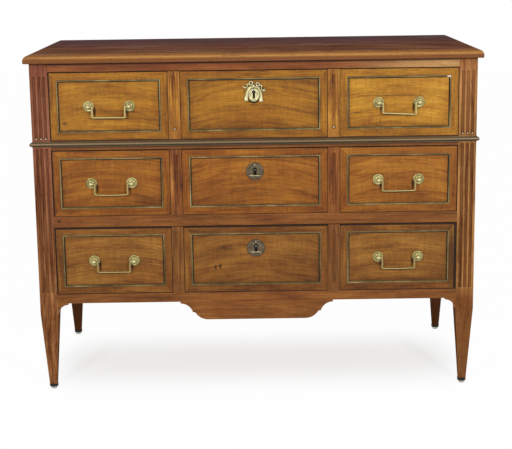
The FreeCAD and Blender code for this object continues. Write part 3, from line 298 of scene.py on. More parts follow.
# Oak, planed and left bare inside: dry and pale brown with open pores.
oakLook = walnutLook | {
    "grain": oakGrain, "tones": ("#6b4827", "#8d663b", "#a37a4b", "#ba9462"), "blush": 0.2, "relief": 0.5,
    "poreTone": "#3f2714", "wornTone": "#c7a878", "wear": 0.3, "grimeAndShade": 0.6, "roughness": 0.68}
oakFinish = {axis: boardFinish("barePlanedOak" + axis.upper(), oakLook | {"along": axis}) for axis in "xy"}
backSeams = (462.5, 644.1)
backFinish = boardFinish("darkenedOakBack", oakLook | {
    "along": "x", "tones": ("#432c19", "#5f4126", "#735231", "#896741"), "sheen": 0.04, "seams": backSeams,
    "marks": [(0, seam, 900, 2.6, 0.9) for seam in backSeams]})
backRailFinish = boardFinish("darkenedOakRail", oakLook | {
    "along": "x", "tones": ("#4d341e", "#6c4b2c", "#815e39", "#977449"), "sheen": 0.04, "seams": (560,)})

# Panelled drawer fronts: one sheet of veneer in each sunk panel, mitred borders round it, in millimetres.
frontPlan = {
    "centreHalf": 168.5, "sideMiddle": 369.35, "sideHalf": 131.85, "divide": 203.0, "stripHalf": 15.3,
    "endX": 520.7, "jointLine": 0.45, "mitreDark": 0.12, "gapLine": 1.3, "gapDark": 0.97, "arch": 0.8,
    "fall": 0.8, "rightFall": 0.6, "borderShare": 0.35, "borderRed": 0.3, "rightYellow": 0.35, "waxAndShadeReach": 26,
    "bareShare": 0.65, "bareTone": "#80592f", "grimeAndShade": 0.55, "nextSheet": 7.3, "lyingSheets": (1.7, 3.9)}
# Tones, lift of the left, middle and right sheets (partly painted light), painted gap shadow above, left,
# right and below, how much darker the borders are, and the marks of age, some of them painted shadow.
frontLooks = {
    "top": {
        "tones": ("#693f10", "#8e5d17", "#a3701e", "#bf9031"), "lift": (-0.01, -0.14, 0.12), "waxAndShade": 0.12,
        "gaps": (1.2, 2.2, 1.0, 0.8), "mid": 756.85, "half": 67.05, "seed": 3.7, "frame": 0.11,
        "marks": (
            (365, 774, 125, 2.2, 0.6), (262, 731, 13, 1.5, 0.9), (321, 710, 3.5, 6, 0.5),
            (-483, 714, 9, 6, 0.6), (60, 712, 40, 9, 0.2), (-95, 742, 26, 1.6, 0.3),
            # Painted shadow in the keyhole's slot and round the cast plate.
            (0, 772.5, 2.4, 2.6, 0.97), (-24, 791, 5, 6, 0.5), (25, 797, 4, 6, 0.5), (25, 780, 3, 7, 0.35),
            (0, 756, 14, 2.5, 0.4))},
    "middle": {
        "tones": ("#562c0b", "#784512", "#8d5719", "#aa7426"), "lift": (0.04, 0.02, 0.14), "waxAndShade": 0.10,
        "gaps": (1.6, 2.8, 1.4, 1.3), "mid": 557.85, "half": 66.05, "seed": 21.4, "frame": 0.03,
        "marks": (
            (20, 561, 150, 1.3, 0.4), (125, 530, 26, 9, 0.25), (-430, 520, 30, 8, 0.22),
            # The last is a painted shadow round the key plate.
            (420, 515, 26, 8, 0.25), (0, 583, 26, 26, 0.3))},
    "bottom": {
        "tones": ("#4b290e", "#6b4116", "#80531e", "#9d702f"), "lift": (0.11, 0.0, 0.06), "waxAndShade": 0.05,
        "gaps": (4.0, 2.6, 6.0, 2.0), "mid": 352.85, "half": 69.05, "seed": 40.9, "frame": 0.06,
        "marks": (
            (-83, 383, 9, 7, 0.45), (-66, 387, 6, 7, 0.35), (-106, 331, 5, 9, 0.9), (-94, 333, 5, 9, 0.9),
            # The last on this line is a painted shadow round the key plate; the next is painted shade on the
            # stile right of the right panel.
            (-74, 306, 6, 6, 0.4), (95, 360, 75, 1.3, 0.4), (118, 344, 30, 8, 0.2), (0, 381, 26, 26, 0.3),
            (509, 350, 18, 130, 0.6))},
}
# Painted shadows of the handles on the front: marks under the balls, the legs and the bar of each bail.
handleShadows = {"inward": 3.8, "marks": (
    (-52, -7, 15, 14, 0.45), (52, -7, 15, 14, 0.45), (-41.5, -13, 5, 19, 0.85), (41.5, -13, 5, 19, 0.85),
    (0, -32, 47, 3.6, 0.7))}


def frontFinish(tag):
    plan = frontPlan
    look = walnutLook | frontLooks[tag] | {"grain": veneerGrain, "grimeAndShade": plan["grimeAndShade"]}
    # Painted handle shadows, set a little inwards of each handle.
    handleX = plan["sideMiddle"] - handleShadows["inward"]
    dirtAndShade = [(side * handleX + across, look["mid"] + up, *rest)
            for side in (-1, 1) for across, up, *rest in handleShadows["marks"]]
    finish, tree, add = newFinish("waxedWalnutFront_" + tag)
    place = add("TexCoord", out="Object")
    x, y, z = add("SeparateXYZ", (place,), out=None)
    right = add("GREATER_THAN", (x, plan["divide"] * mm))
    left = add("LESS_THAN", (x, -plan["divide"] * mm))
    column = add("SUBTRACT", (right, left))
    flank = add("ABSOLUTE", (column,))
    localX = add("MULTIPLY_ADD", (column, -plan["sideMiddle"] * mm, x))
    localZ = add("SUBTRACT", (z, look["mid"] * mm))
    half = add("MULTIPLY_ADD", (flank, (plan["sideHalf"] - plan["centreHalf"]) * mm, plan["centreHalf"] * mm))
    overX = add("SUBTRACT", (add("ABSOLUTE", (localX,)), half))
    overZ = add("SUBTRACT", (add("ABSOLUTE", (localZ,)), look["half"] * mm))
    over = add("MAXIMUM", (overX, overZ))
    border = add("GREATER_THAN", (over, 0.0))
    panel = add("SUBTRACT", (1.0, border))
    upright = add("MULTIPLY", (add("GREATER_THAN", (overX, overZ)), border))
    lying = add("SUBTRACT", (border, upright))
    # Panels have arched figure; stiles run upright, borders above and below lie flat.
    bowed = add("MULTIPLY", (add("MULTIPLY", (localX, localX)), plan["arch"]))
    bowed = add("MULTIPLY_ADD", (bowed, panel, z))
    along = add("Mix", {"Factor": upright, "A": x, "B": z})
    across = add("Mix", {"Factor": upright, "A": bowed, "B": x})
    sheet = add("MULTIPLY_ADD", (column, plan["nextSheet"], look["seed"]))
    sheet = add("MULTIPLY_ADD", (upright, add("SIGN", (localX,)), sheet))
    lyingSheet = add("MULTIPLY_ADD", (add("SIGN", (localZ,)), *plan["lyingSheets"]))
    sheet = add("MULTIPLY_ADD", (lying, lyingSheet, sheet))
    tone, fibre, pore, blush = boardFigure(add, along, across, y, sheet, look["grain"])
    # Each sheet has its own depth of colour, partly painted light on the end sheets, and darkens downwards;
    # the borders take a third of both.
    low, middle, high = look["lift"]
    lift = add("MULTIPLY_ADD", (column, (high - low) / 2, middle))
    lift = add("MULTIPLY_ADD", (flank, (high + low) / 2 - middle, lift))
    inset = add("MULTIPLY_ADD", (border, plan["borderShare"] - 1.0, 1.0))
    tone = add("MULTIPLY_ADD", (lift, inset, tone))
    fall = add("MULTIPLY_ADD", (right, plan["rightFall"], plan["fall"]))
    tone = add("MULTIPLY_ADD", (localZ, add("MULTIPLY", (fall, inset)), tone))
    tone = add("MULTIPLY_ADD", (border, -look["frame"], tone))
    # Old wax and painted shade darken the panels towards their mouldings.
    waxAndShadeDark = add("MapRange", (over, -plan["waxAndShadeReach"] * mm, 0.0, 0.0, -look["waxAndShade"]))
    tone = add("ADD", (tone, add("MULTIPLY", (waxAndShadeDark, panel))))
    # Dark lines: mitres, painted shadow in the gaps beside the fluted strips and round the drawer, the marks
    # of age, and painted shadows round the handles and plates.
    mitre = add("COMPARE", (overX, overZ, plan["jointLine"] * mm))
    mitre = add("MULTIPLY", (mitre, add("MULTIPLY", (border, plan["mitreDark"]))))
    fromStrip = add("ABSOLUTE", (add("SUBTRACT", (add("ABSOLUTE", (x,)), plan["divide"] * mm)),))
    gap = add("COMPARE", (fromStrip, plan["stripHalf"] * mm, plan["gapLine"] * mm))
    above, beside, beyond, below = look["gaps"]
    foot, head = (corner[2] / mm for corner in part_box("drawer_front_" + tag))
    for axis, test, limit in (
            (z, "LESS_THAN", foot + below), (z, "GREATER_THAN", head - above),
            (x, "LESS_THAN", beside - plan["endX"]), (x, "GREATER_THAN", plan["endX"] - beyond)):
        gap = add("MAXIMUM", (gap, add(test, (axis, limit * mm))))
    lines = add("MAXIMUM", (mitre, add("MULTIPLY", (gap, plan["gapDark"]))))
    lines = add("MAXIMUM", (lines, marksAndShadows(add, place, fibre, (*look["marks"], *dirtAndShade))))
    facing = add("SeparateXYZ", (add("NewGeometry", out="Normal"),), out=1)
    lines = add("MULTIPLY", (lines, add("LESS_THAN", (facing, -0.5))))  # on the front face only
    bare = add("MULTIPLY", (add("GREATER_THAN", (facing, 0.5)), plan["bareShare"]))  # the back is unstained
    redder = add("MULTIPLY_ADD", (border, plan["borderRed"], blush))
    redder = add("MULTIPLY_ADD", (right, -plan["rightYellow"], redder), use_clamp=True)
    dressWood(tree, (tone, fibre, pore, redder), look, [(bare, plan["bareTone"])], lines)
    return finish


# Where the three tones lie on the blotches, how far a hollow is shut, and what faces down.
metalSteps = {"tones": (0.28, 0.5, 0.72), "hollow": ((0.25, 1.0), (0.85, 0.0)), "underside": -0.6,
              "roughVary": 0.3, "grimeRough": 0.35, "relief": 0.5}


# A metal surface: blotched tarnish, grime and painted shade in the hollows, fine pitting.
def metalFinish(name, look):
    steps = metalSteps
    finish, tree, add = newFinish(name)
    place = add("TexCoord", out="Object")
    spread = add("VectorMath SCALE", {0: place, "Scale": 1 / (look["blotch"] * mm)})
    blotch = add("TexNoise", {"Vector": spread, "Scale": 1.0, "Detail": 5.0, "Roughness": 0.62}, out="Fac")
    colour = add("ValToRGB", (blotch,), zip(steps["tones"], look["tones"]))
    layers = []
    if "rubbedAndHighlight" in look:  # raised work is paler towards its crest, rubbed and painted highlight, and the ground stays dark
        ground, crest, tone = look["rubbedAndHighlight"]
        height = add("SeparateXYZ", (place,), out=1)
        layers.append((add("MapRange", (height, ground * mm, crest * mm)), tone))
    if "chips" in look:  # places knocked pale
        layers.append((marksAndShadows(add, place, blotch, look["chips"]), look["chipTone"]))
    if "under" in look:  # painted shade: faces turned down are darker
        facing = add("SeparateXYZ", (add("NewGeometry", out="Normal"),), out=2)
        below = add("MapRange", (facing, 0.0, steps["underside"], 0.0, look["under"]))
        layers.append((below, look["grimeAndShadeTone"]))
    # Grime and painted shade: darker in the hollows.
    opening = add("AmbientOcclusion", {"Distance": look["grimeAndShadeReach"] * mm}, out="AO", samples=6)
    grimeAndShade = add("MULTIPLY", (add("ValToRGB", (opening,), steps["hollow"]), look["grimeAndShade"]))
    for share, tone in (*layers, (grimeAndShade, look["grimeAndShadeTone"])):
        colour = add("Mix", {"Factor": share, "A": colour, "B": tone}, out="Result", data_type="RGBA")
    gloss = add("MULTIPLY_ADD", (blotch, steps["roughVary"], look["roughness"] - steps["roughVary"] / 2))
    gloss = add("MULTIPLY_ADD", (grimeAndShade, steps["grimeRough"], gloss))
    fine = add("VectorMath SCALE", {0: place, "Scale": 1 / (look["grit"] * mm)})
    tooth = add("TexNoise", {"Vector": fine, "Scale": 1.0, "Detail": 3.0}, out="Fac")
    relief = add("Bump", {"Height": tooth, "Distance": look["pitting"] * mm, "Strength": steps["relief"]})
    feed(tree, tree.nodes["Principled BSDF"], {
        "Base Color": colour, "Roughness": gloss, "Normal": relief, "Metallic": look["metallic"],
        "Specular IOR Level": look.get("sheen", 0.5)})
    return finish


# Cast brass, filed and once lacquered: pale greenish gold, brown in the hollows, painted shade underneath.
# Sizes in millimetres; where work is rubbed and given a painted highlight, the depths of its ground and crest
# and the tone of the crest.
brassLook = {
    "tones": ("#7d7340", "#998d54", "#b3a76f"), "blotch": 45, "grit": 1.2, "pitting": 0.01, "grimeAndShadeReach": 3,
    "grimeAndShade": 0.75, "grimeAndShadeTone": "#2b200c", "roughness": 0.34, "metallic": 0.45, "under": 0.3}
brassFinish = metalFinish("lacqueredCastBrass", brassLook)
# The same brass where hands take hold: the fronts of the balls and bails are rubbed pale and carry a painted
# highlight, their undersides a painted shade.
ballFinish = metalFinish("handRubbedHighlitCastBrass", brassLook | {
    "tones": ("#665b2e", "#827645", "#9b8f5c"), "under": 0.6, "rubbedAndHighlight": (-269.0, -276.0, "#d3c98f")})
bailTones = {"top": "#c0af74", "middle": "#aa975e", "bottom": "#a08d58"}  # the lower ones are handled less and given painted shade
bailFinish = {tag: metalFinish("handRubbedHighlitBrassRod_" + tag, brassLook | {
    "tones": ("#4c3f22", "#66582f", "#7f7145"), "under": 0.85, "rubbedAndHighlight": (-270.2, -272.3, tone)})
    for tag, tone in bailTones.items()}
# Cast brass cleaned with the rest of the lock plate: the palest metal on the front, its raised work rubbed
# and given a painted highlight.
castLook = {"blotch": 7, "grit": 1.2, "pitting": 0.05, "grimeAndShadeReach": 3, "grimeAndShade": 0.85}
paleBrassFinish = metalFinish("burnishedHighlitCastBrass", castLook | {
    "tones": ("#625a29", "#847c43", "#a69e66"), "grimeAndShadeTone": "#1d160a", "roughness": 0.38, "metallic": 0.45,
    "rubbedAndHighlight": (-257.6, -260.1, "#e4dcb4")})
# Pressed bronze plate, patinated nearly black, its raised work rubbed bright and given a painted highlight.
plateFinish = metalFinish("brownPressedBronze", castLook | {
    "tones": ("#32281b", "#4a3d2b", "#66573f"), "grimeAndShadeTone": "#170f08", "roughness": 0.4, "metallic": 0.55,
    "rubbedAndHighlight": (-257.5, -258.4, "#c4b68c")})
# Small brass beads, brown with old wax and dull.
beadFinish = metalFinish("waxedTurnedBrass", {
    "tones": ("#8d745c", "#a98f75", "#c3ad93"), "blotch": 4, "grit": 0.8, "pitting": 0.03, "grimeAndShadeReach": 3,
    "grimeAndShade": 0.8, "grimeAndShadeTone": "#2d1a10", "roughness": 0.5, "metallic": 0.4})
# Drawn brass strip, never polished: dull olive, paler on the bead than in the hollow.
stripLook = {
    "tones": ("#3d321b", "#675936", "#9b8c5f"), "blotch": 70, "grit": 1.6, "pitting": 0.03, "grimeAndShadeReach": 5,
    "grimeAndShade": 0.9, "grimeAndShadeTone": "#150d06", "roughness": 0.44, "metallic": 0.55,
    "chips": ((496, 821, 7, 4, 0.9),), "chipTone": "#e6dcc8"}
stripFinish = metalFinish("tarnishedDrawnBrass", stripLook)
# The hollow on the strip's inner side holds black wax and painted shade.
hollowLook = stripLook | {"tones": ("#23170b", "#332310", "#453218"), "metallic": 0.0, "sheen": 0.1}
hollowFinish = metalFinish("waxAndShadeBrassHollow", hollowLook)
# Along the foot of each panel the hollow is paler and brown: dusty wax, and painted light where it faces up.
dustyLitFinish = metalFinish("dustyLitBrassHollow", hollowLook | {
    "tones": ("#4b3517", "#5e4620", "#71572c"), "grimeAndShade": 0.6})
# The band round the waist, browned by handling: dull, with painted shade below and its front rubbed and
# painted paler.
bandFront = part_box("waist_moulding")[0][1] / mm
bandFinish = metalFinish("tarnishedBrassBand", stripLook | {
    "tones": ("#4c3e25", "#605032", "#756443"), "blotch": 120, "under": 0.85, "grimeAndShade": 0.55,
    "chips": ((-300, 660, 3, 3, 0.1),), "rubbedAndHighlight": (bandFront + 4.0, bandFront + 1.0, "#6b573c")})
# Turned steel key pin, kept bright by the key.
pinFinish = metalFinish("polishedTurnedSteel", {
    "tones": ("#85817b", "#a19d96", "#bab6af"), "blotch": 3, "grit": 0.6, "pitting": 0.01, "grimeAndShadeReach": 1,
    "grimeAndShade": 0.2, "grimeAndShadeTone": "#3b3630", "roughness": 0.36, "metallic": 1.0})
# Forged iron, filed and browned by age.
ironFinish = metalFinish("brownedForgedIron", {
    "tones": ("#3a322d", "#59504a", "#746a62"), "blotch": 14, "grit": 0.9, "pitting": 0.08, "grimeAndShadeReach": 5,
    "grimeAndShade": 0.7, "grimeAndShadeTone": "#2a170d", "roughness": 0.5, "metallic": 0.9})
# Blackened steel collar: near black, dull.
ferruleFinish = metalFinish("blackenedSteelCollar", {
    "tones": ("#100e0c", "#1b1815", "#2b2622"), "blotch": 6, "grit": 0.8, "pitting": 0.03, "grimeAndShadeReach": 3,
    "grimeAndShade": 0.4, "grimeAndShadeTone": "#050505", "roughness": 0.42, "metallic": 0.6})
# Steel glide, worn bright by the floor.
glideFinish = metalFinish("wornSteelGlide", {
    "tones": ("#8d8983", "#b5b1a9", "#d9d6cf"), "blotch": 5, "grit": 0.7, "pitting": 0.02, "grimeAndShadeReach": 2,
    "grimeAndShade": 0.5, "grimeAndShadeTone": "#3b3630", "roughness": 0.28, "metallic": 1.0})

# Which finish each CAD node takes.
nodeFinish = {
    "top_board": topFinish, "frieze_rail": friezeFinish, "waist_rail": waistFinish, "middle_rail": railFinish,
    "apron_rail": railFinish, "post_front_left": postFinish, "post_front_right": paintedLightPostFinish,
    "back_boards": backFinish, "back_rails": backRailFinish, "drawer_runners": oakFinish["y"],
    "waist_moulding": bandFinish, "post_beads": beadFinish, "pilaster_beads_top": beadFinish,
    "foot_ferrules": ferruleFinish, "foot_glides": glideFinish, "escutcheon_top": paleBrassFinish,
    "escutcheon_middle": plateFinish, "escutcheon_bottom": plateFinish}
for side in ("left", "right"):
    nodeFinish |= {
        "side_rails_" + side: sideFinish, "side_panels_" + side: sideFinish,
        "post_rear_" + side: rearPostFinish}
for tag in drawers:
    nodeFinish |= {
        "drawer_front_" + tag: frontFinish(tag), "pilasters_" + tag: pilasterFinish[tag],
        "drawer_sides_" + tag: oakFinish["y"], "drawer_back_" + tag: oakFinish["x"],
        "drawer_bottom_" + tag: oakFinish["x"], "panel_mouldings_" + tag: stripFinish,
        "lock_case_" + tag: ironFinish, "lock_bolt_" + tag: ironFinish, "handle_rosettes_" + tag: brassFinish,
        "handle_posts_" + tag: ballFinish, "bail_left_" + tag: bailFinish[tag],
        "bail_right_" + tag: bailFinish[tag]}
print("finishes made:", len(bpy.data.materials))

# Hand-cut boards have softened arrises: flat faces are rejoined first, then the corners are eased.
arris = {
    "WELD": {"merge_threshold": 0.01 * mm},
    "DECIMATE": {"decimate_type": "DISSOLVE", "angle_limit": math.radians(0.5)},
    "BEVEL": {"width": 0.7 * mm, "segments": 2, "limit_method": "ANGLE", "angle_limit": math.radians(40),
              "harden_normals": True}}
timber = ("post", "top", "frieze", "waist_rail", "middle", "apron", "side", "back", "drawer", "pilasters")
for name, node in nodes.items():
    node.data.materials.clear()
    node.data.materials.append(nodeFinish[name])
    if name.startswith(timber) and name != "post_beads":
        for kind, settings in arris.items():
            step = node.modifiers.new(kind.lower(), kind)
            for key, value in settings.items():
                setattr(step, key, value)
print("CAD nodes dressed")


# Faces between rings of equal count; each ring is a list of points in millimetres. From the step
# secondFrom on, the faces take the second finish.
def skin(bm, rings, closeRings=False, caps=False, secondFrom=math.inf):
    rows = [[bm.verts.new(Vector(point) * mm) for point in ring] for ring in rings]
    pairs = list(zip(rows, rows[1:])) + ([(rows[-1], rows[0])] if closeRings else [])
    for step, (low, high) in enumerate(pairs):
        for i in range(len(low)):
            j = (i + 1) % len(low)
            face = bm.faces.new((low[i], low[j], high[j], high[i]))
            face.material_index = int(step >= secondFrom)
    if caps:
        bm.faces.new(rows[0])
        bm.faces.new(rows[-1])


def mount(name, bm, finishes, body, stands=None, crease=38):
    bmesh.ops.recalc_face_normals(bm, faces=bm.faces)
    mesh = bpy.data.meshes.new(name)
    bm.to_mesh(mesh)
    bm.free()
    mesh.shade_smooth()
    mesh.set_sharp_from_angle(angle=math.radians(crease))
    for finish in finishes:
        mesh.materials.append(finish)
    piece = bpy.data.objects.new(name, mesh)
    scene.collection.objects.link(piece)
    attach(piece, body)
    if stands:
        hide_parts(stands)


def circle(count, start=0.0):
    return [2 * math.pi * (k + start) / count for k in range(count)]


# Brass strip round the sunk panels: an outer bead, a step and a hollow falling to the panel.
panelFloor = -255.0
mouldingPlan = {
    "spans": ((-501.2, -237.5), (-168.5, 168.5), (237.5, 501.2)), "hollowFrom": 7, "width": 5.5,
    "profile": (
        (0, 0), (0, 3.5), (0.3, 4.2), (0.9, 4.8), (1.6, 5.0), (2.3, 4.8), (2.9, 4.2), (3.2, 3.4), (3.35, 1.8),
        (3.7, 1.0), (4.4, 0.7), (5.2, 0.8), (5.5, 0.6), (5.5, 0))}
for tag in drawers:
    low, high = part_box("panel_mouldings_" + tag)
    z0, z1 = low[2] / mm, high[2] / mm
    bm = bmesh.new()
    for x0, x1 in mouldingPlan["spans"]:
        rings = []
        for inset, reach in mouldingPlan["profile"]:
            left, right, foot, head = x0 + inset, x1 - inset, z0 + inset, z1 - inset
            corners = ((left, foot), (right, foot), (right, head), (left, head))
            rings.append([(x, panelFloor - reach, z) for x, z in corners])
        skin(bm, rings, closeRings=True, secondFrom=mouldingPlan["hollowFrom"])
    for face in bm.faces:
        if face.material_index and face.calc_center_median().z < (z0 + mouldingPlan["width"]) * mm:
            face.material_index = 2  # the hollow along the foot
    mount("panelMouldings_" + tag, bm, [stripFinish, hollowFinish, dustyLitFinish], "drawer_" + tag,
          "panel_mouldings_" + tag)
print("panel mouldings made")

# Handles: turned rosettes, ball-headed posts with square nuts behind, bent bails. Profiles are radius and
# reach in front of the panel, for the collars reach from the ball's middle.
handlePlan = {
    "spread": 52.0, "ballReach": 15.0, "leg": 41.5, "drop": 28.0, "endGap": 0.4, "thick": 2.2, "bend": 2.8,
    "bendSteps": 5, "barSteps": 10, "around": {"rosette": 48, "post": 28, "collar": 20, "nut": 4, "rod": 14},
    "rosette": (
        (3.2, 0), (14.2, 0), (14.2, 1.0), (13.9, 1.7), (13.3, 2.2), (12.5, 2.4), (11.6, 2.4), (10.6, 2.2),
        (9.4, 2.0), (8.2, 1.9), (7.2, 1.9), (6.4, 2.1), (5.7, 2.5), (5.0, 3.0), (3.2, 3.1)),
    "post": (
        (1.6, -25), (2.2, -24.8), (2.5, -24.4), (2.5, -2), (2.9, -0.5), (2.9, 3.1), (4.5, 3.1), (4.7, 3.7),
        (4.4, 4.4), (3.2, 5.2), (2.8, 6.4), (2.8, 8.2), (3.4, 9.0), (4.3, 10.8), (5.2, 12.2), (5.8, 13.6),
        (6.0, 15.0), (5.85, 16.4), (5.3, 17.8), (4.4, 19.1), (3.1, 20.2), (2.2, 20.6), (2.0, 20.95),
        (1.1, 21.0), (0.2, 21.0)),
    "collar": ((2.6, 5.0), (3.6, 5.0), (3.9, 5.8), (3.5, 6.6), (2.6, 6.6)),
    "nut": ((6.7, -21.0), (7.5, -21.5), (7.5, -23.7), (6.7, -24.3))}
# Years of use have bent each bail a little its own way: sag of the bar, splay of the legs, drop of one end.
bailBends = {
    "left_top": (0.0, 0.4, 0.3), "right_top": (0.3, 0.5, 2.2), "left_middle": (1.5, 1.0, 0.0),
    "right_middle": (0.5, 0.3, -0.3), "left_bottom": (0.2, 0.2, 0.3), "right_bottom": (0.9, 0.4, -0.2)}


# A ring parallel to the front: centre and half sizes across and up, and its reach in front of the panel.
def oval(centre, half, reach, count, start=0.0):
    return [(centre[0] + half[0] * math.cos(a), panelFloor - reach, centre[1] + half[1] * math.sin(a))
            for a in circle(count, start)]


def turnedRings(centre, profile, count):
    return [oval(centre, (radius, radius), reach, count) for radius, reach in profile]


def bailPath(centreX, centreZ, sag, splay, tilt):
    plan = handlePlan
    reach, leg, drop = plan["spread"] - plan["endGap"], plan["leg"], plan["drop"]
    turns = [Vector(p) for p in (
        (-reach, 0), (-leg, 0), (-leg - splay, tilt - drop), (leg + splay, -tilt - drop), (leg, 0),
        (reach, 0))]
    path = [turns[0]]
    for i in range(1, 5):
        corner = turns[i]
        start = corner + (turns[i - 1] - corner).normalized() * plan["bend"]
        end = corner + (turns[i + 1] - corner).normalized() * plan["bend"]
        if i == 3:  # the worn bar sags between its corners
            first = path[-1]
            for k in range(1, plan["barSteps"]):
                t = k / plan["barSteps"]
                path.append(first.lerp(start, t) - Vector((0, 4 * sag * t * (1 - t))))
        for k in range(plan["bendSteps"] + 1):
            t = k / plan["bendSteps"]
            path.append(start.lerp(corner, t).lerp(corner.lerp(end, t), t))
    path.append(turns[5])
    return [Vector((centreX + p.x, panelFloor - plan["ballReach"], centreZ + p.y)) for p in path]


def sweptRod(bm, path, radius, count):
    rings, out = [], Vector((0, 1, 0))
    for i, point in enumerate(path):
        ahead = (path[min(i + 1, len(path) - 1)] - path[max(i - 1, 0)]).normalized()
        side = ahead.cross(out).normalized()
        rings.append([point + radius * (side * math.cos(a) + out * math.sin(a)) for a in circle(count)])
    skin(bm, rings, caps=True)


for tag in drawers:
    plan, around = handlePlan, handlePlan["around"]
    midX, midZ = frontPlan["sideMiddle"], frontLooks[tag]["mid"]
    pivotY = panelFloor - plan["ballReach"]
    rosettes, posts = bmesh.new(), bmesh.new()
    for side in (-1, 1):
        for end in (-1, 1):
            x = side * midX + end * plan["spread"]
            skin(rosettes, turnedRings((x, midZ), plan["rosette"], around["rosette"]), closeRings=True)
            skin(posts, turnedRings((x, midZ), plan["post"], around["post"]), caps=True)
            collar = [[(x - end * reach, pivotY + radius * math.cos(a), midZ + radius * math.sin(a))
                       for a in circle(around["collar"])] for radius, reach in plan["collar"]]
            skin(posts, collar, closeRings=True)
            skin(posts, turnedRings((x, midZ), plan["nut"], around["nut"]), caps=True)
    body = "drawer_" + tag
    mount("handleRosettes_" + tag, rosettes, [brassFinish], body, "handle_rosettes_" + tag)
    mount("handlePosts_" + tag, posts, [ballFinish], body, "handle_posts_" + tag)
    for word, side in (("left", -1), ("right", 1)):
        bail = bmesh.new()
        path = bailPath(side * midX, midZ, *bailBends[word + "_" + tag])
        sweptRod(bail, path, plan["thick"], around["rod"])
        node = "bail_%s_%s" % (word, tag)
        mount("bailBar_%s_%s" % (word, tag), bail, [bailFinish[tag]], node, node)
print("handles made")

# Keyhole outline about a point in its slot: a round eye over a straight slot, in millimetres from the eye.
keyhole = {"eye": 4.5, "slotHalf": 2.7, "tail": 14.0, "topTail": 16.5, "centre": -3.5}


def keyRing(count, grow, reach, eyeZ, tail=keyhole["tail"]):
    ring, up = [], -keyhole["centre"]
    for a in circle(count, 0.5):
        dx, dz = math.cos(a), math.sin(a)
        inEye = dz * up + math.sqrt((dz * up) ** 2 - up * up + (keyhole["eye"] + grow) ** 2)
        wide = (keyhole["slotHalf"] + grow) / abs(dx)
        tall = (tail - up + grow if dz < 0 else up) / abs(dz)
        edge = max(inEye, min(wide, tall))
        ring.append((edge * dx, panelFloor - reach, eyeZ - up + edge * dz))
    return ring


def nearest(x, z, line):
    best = math.inf
    for (ax, az), (bx, bz) in zip(line, line[1:]):
        ux, uz = bx - ax, bz - az
        t = max(0.0, min(1.0, ((x - ax) * ux + (z - az) * uz) / (ux * ux + uz * uz)))
        best = min(best, math.hypot(x - ax - t * ux, z - az - t * uz))
    return best


# Pressed round plate: beaded rim, a bud over a pointed arch round the keyhole, which stands on a ledge with
# a spray below, and leaves on the ground. In millimetres from the keyhole's eye; each ridge is height, half
# width and line.
platePlan = {
    "radius": 23.0, "drop": 5.0, "around": 208, "rows": 48, "wall": 2.0, "lip": 0.25, "ground": 1.9,
    "dome": 0.5, "rim": {"out": 20.4, "half": 1.35, "tall": 0.3, "beads": 52},
    "bud": {"up": 11.6, "half": (1.5, 3.0), "tall": 0.6}, "edge": {"out": 22.0, "slope": 0.65, "least": 0.35},
    "leaf": {"from": 10.5, "rise": 3.0, "to": 18.6, "fall": 2.0, "tall": 0.45, "count": 18, "sway": 2.4,
             "wave": 0.9},
    "ridges": (
        (0.4, 0.85, ((-7.4, -14.4), (-9.2, -8), (-9.4, -1), (-7.2, 5), (-3.4, 9.5), (0, 14.2), (3.4, 9.5),
                     (7.2, 5), (9.4, -1), (9.2, -8), (7.4, -14.4))),
        (1.25, 0.95, ((-13.5, -15.6), (13.5, -15.6))),
        (0.35, 0.9, ((-12, -17.5), (-7, -21.6), (0, -23.2), (7, -21.6), (12, -17.5))))}


def plateHeight(x, z):
    plan = platePlan
    rim, bud, leaf, edge = (plan[part] for part in ("rim", "bud", "leaf", "edge"))
    out = math.hypot(x, z + plan["drop"])
    angle = math.atan2(z + plan["drop"], x)
    height = plan["ground"] + plan["dome"] * (1 - (out / plan["radius"]) ** 2)
    beading = rim["tall"] * (1 + math.cos(rim["beads"] * angle))
    height += beading * math.exp(-((out - rim["out"]) / rim["half"]) ** 2)
    fromBud = math.hypot(x / bud["half"][0], (z - bud["up"]) / bud["half"][1])
    height += bud["tall"] * math.exp(-fromBud ** 2)
    for tall, half, line in plan["ridges"]:
        height += tall * math.exp(-(nearest(x, z, line) / half) ** 2)
    leafy = max(0.0, min(1.0, (out - leaf["from"]) / leaf["rise"]))
    leafy *= max(0.0, min(1.0, (leaf["to"] - out) / leaf["fall"]))
    sway = leaf["sway"] * math.sin(out * leaf["wave"])
    height += leaf["tall"] * leafy * math.cos(leaf["count"] * angle + sway)
    return height * max(edge["least"], min(1.0, 1 - edge["slope"] * (out - edge["out"])))


for tag in ("middle", "bottom"):
    plan = platePlan
    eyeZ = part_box("escutcheon_" + tag)[0][2] / mm + plan["radius"] + plan["drop"]
    count = plan["around"]
    rings = [keyRing(count, 0.0, 0.0, eyeZ), keyRing(count, 0.0, plan["wall"], eyeZ)]
    inner = keyRing(count, plan["lip"], 0.0, eyeZ)
    for row in range(plan["rows"] + 1):
        t = row / plan["rows"]
        ring = []
        for point, angle in zip(inner, circle(count, 0.5)):
            x = point[0] * (1 - t) + plan["radius"] * math.cos(angle) * t
            z = (point[2] - eyeZ) * (1 - t) + (plan["radius"] * math.sin(angle) - plan["drop"]) * t
            ring.append((x, panelFloor - plateHeight(x, z), eyeZ + z))
        rings.append(ring)
    rings.append([(x, panelFloor, z) for x, y, z in rings[-1]])
    bm = bmesh.new()
    skin(bm, rings, closeRings=True)
    mount("keyPlate_" + tag, bm, [plateFinish], "drawer_" + tag, "escutcheon_" + tag,
          crease=60)
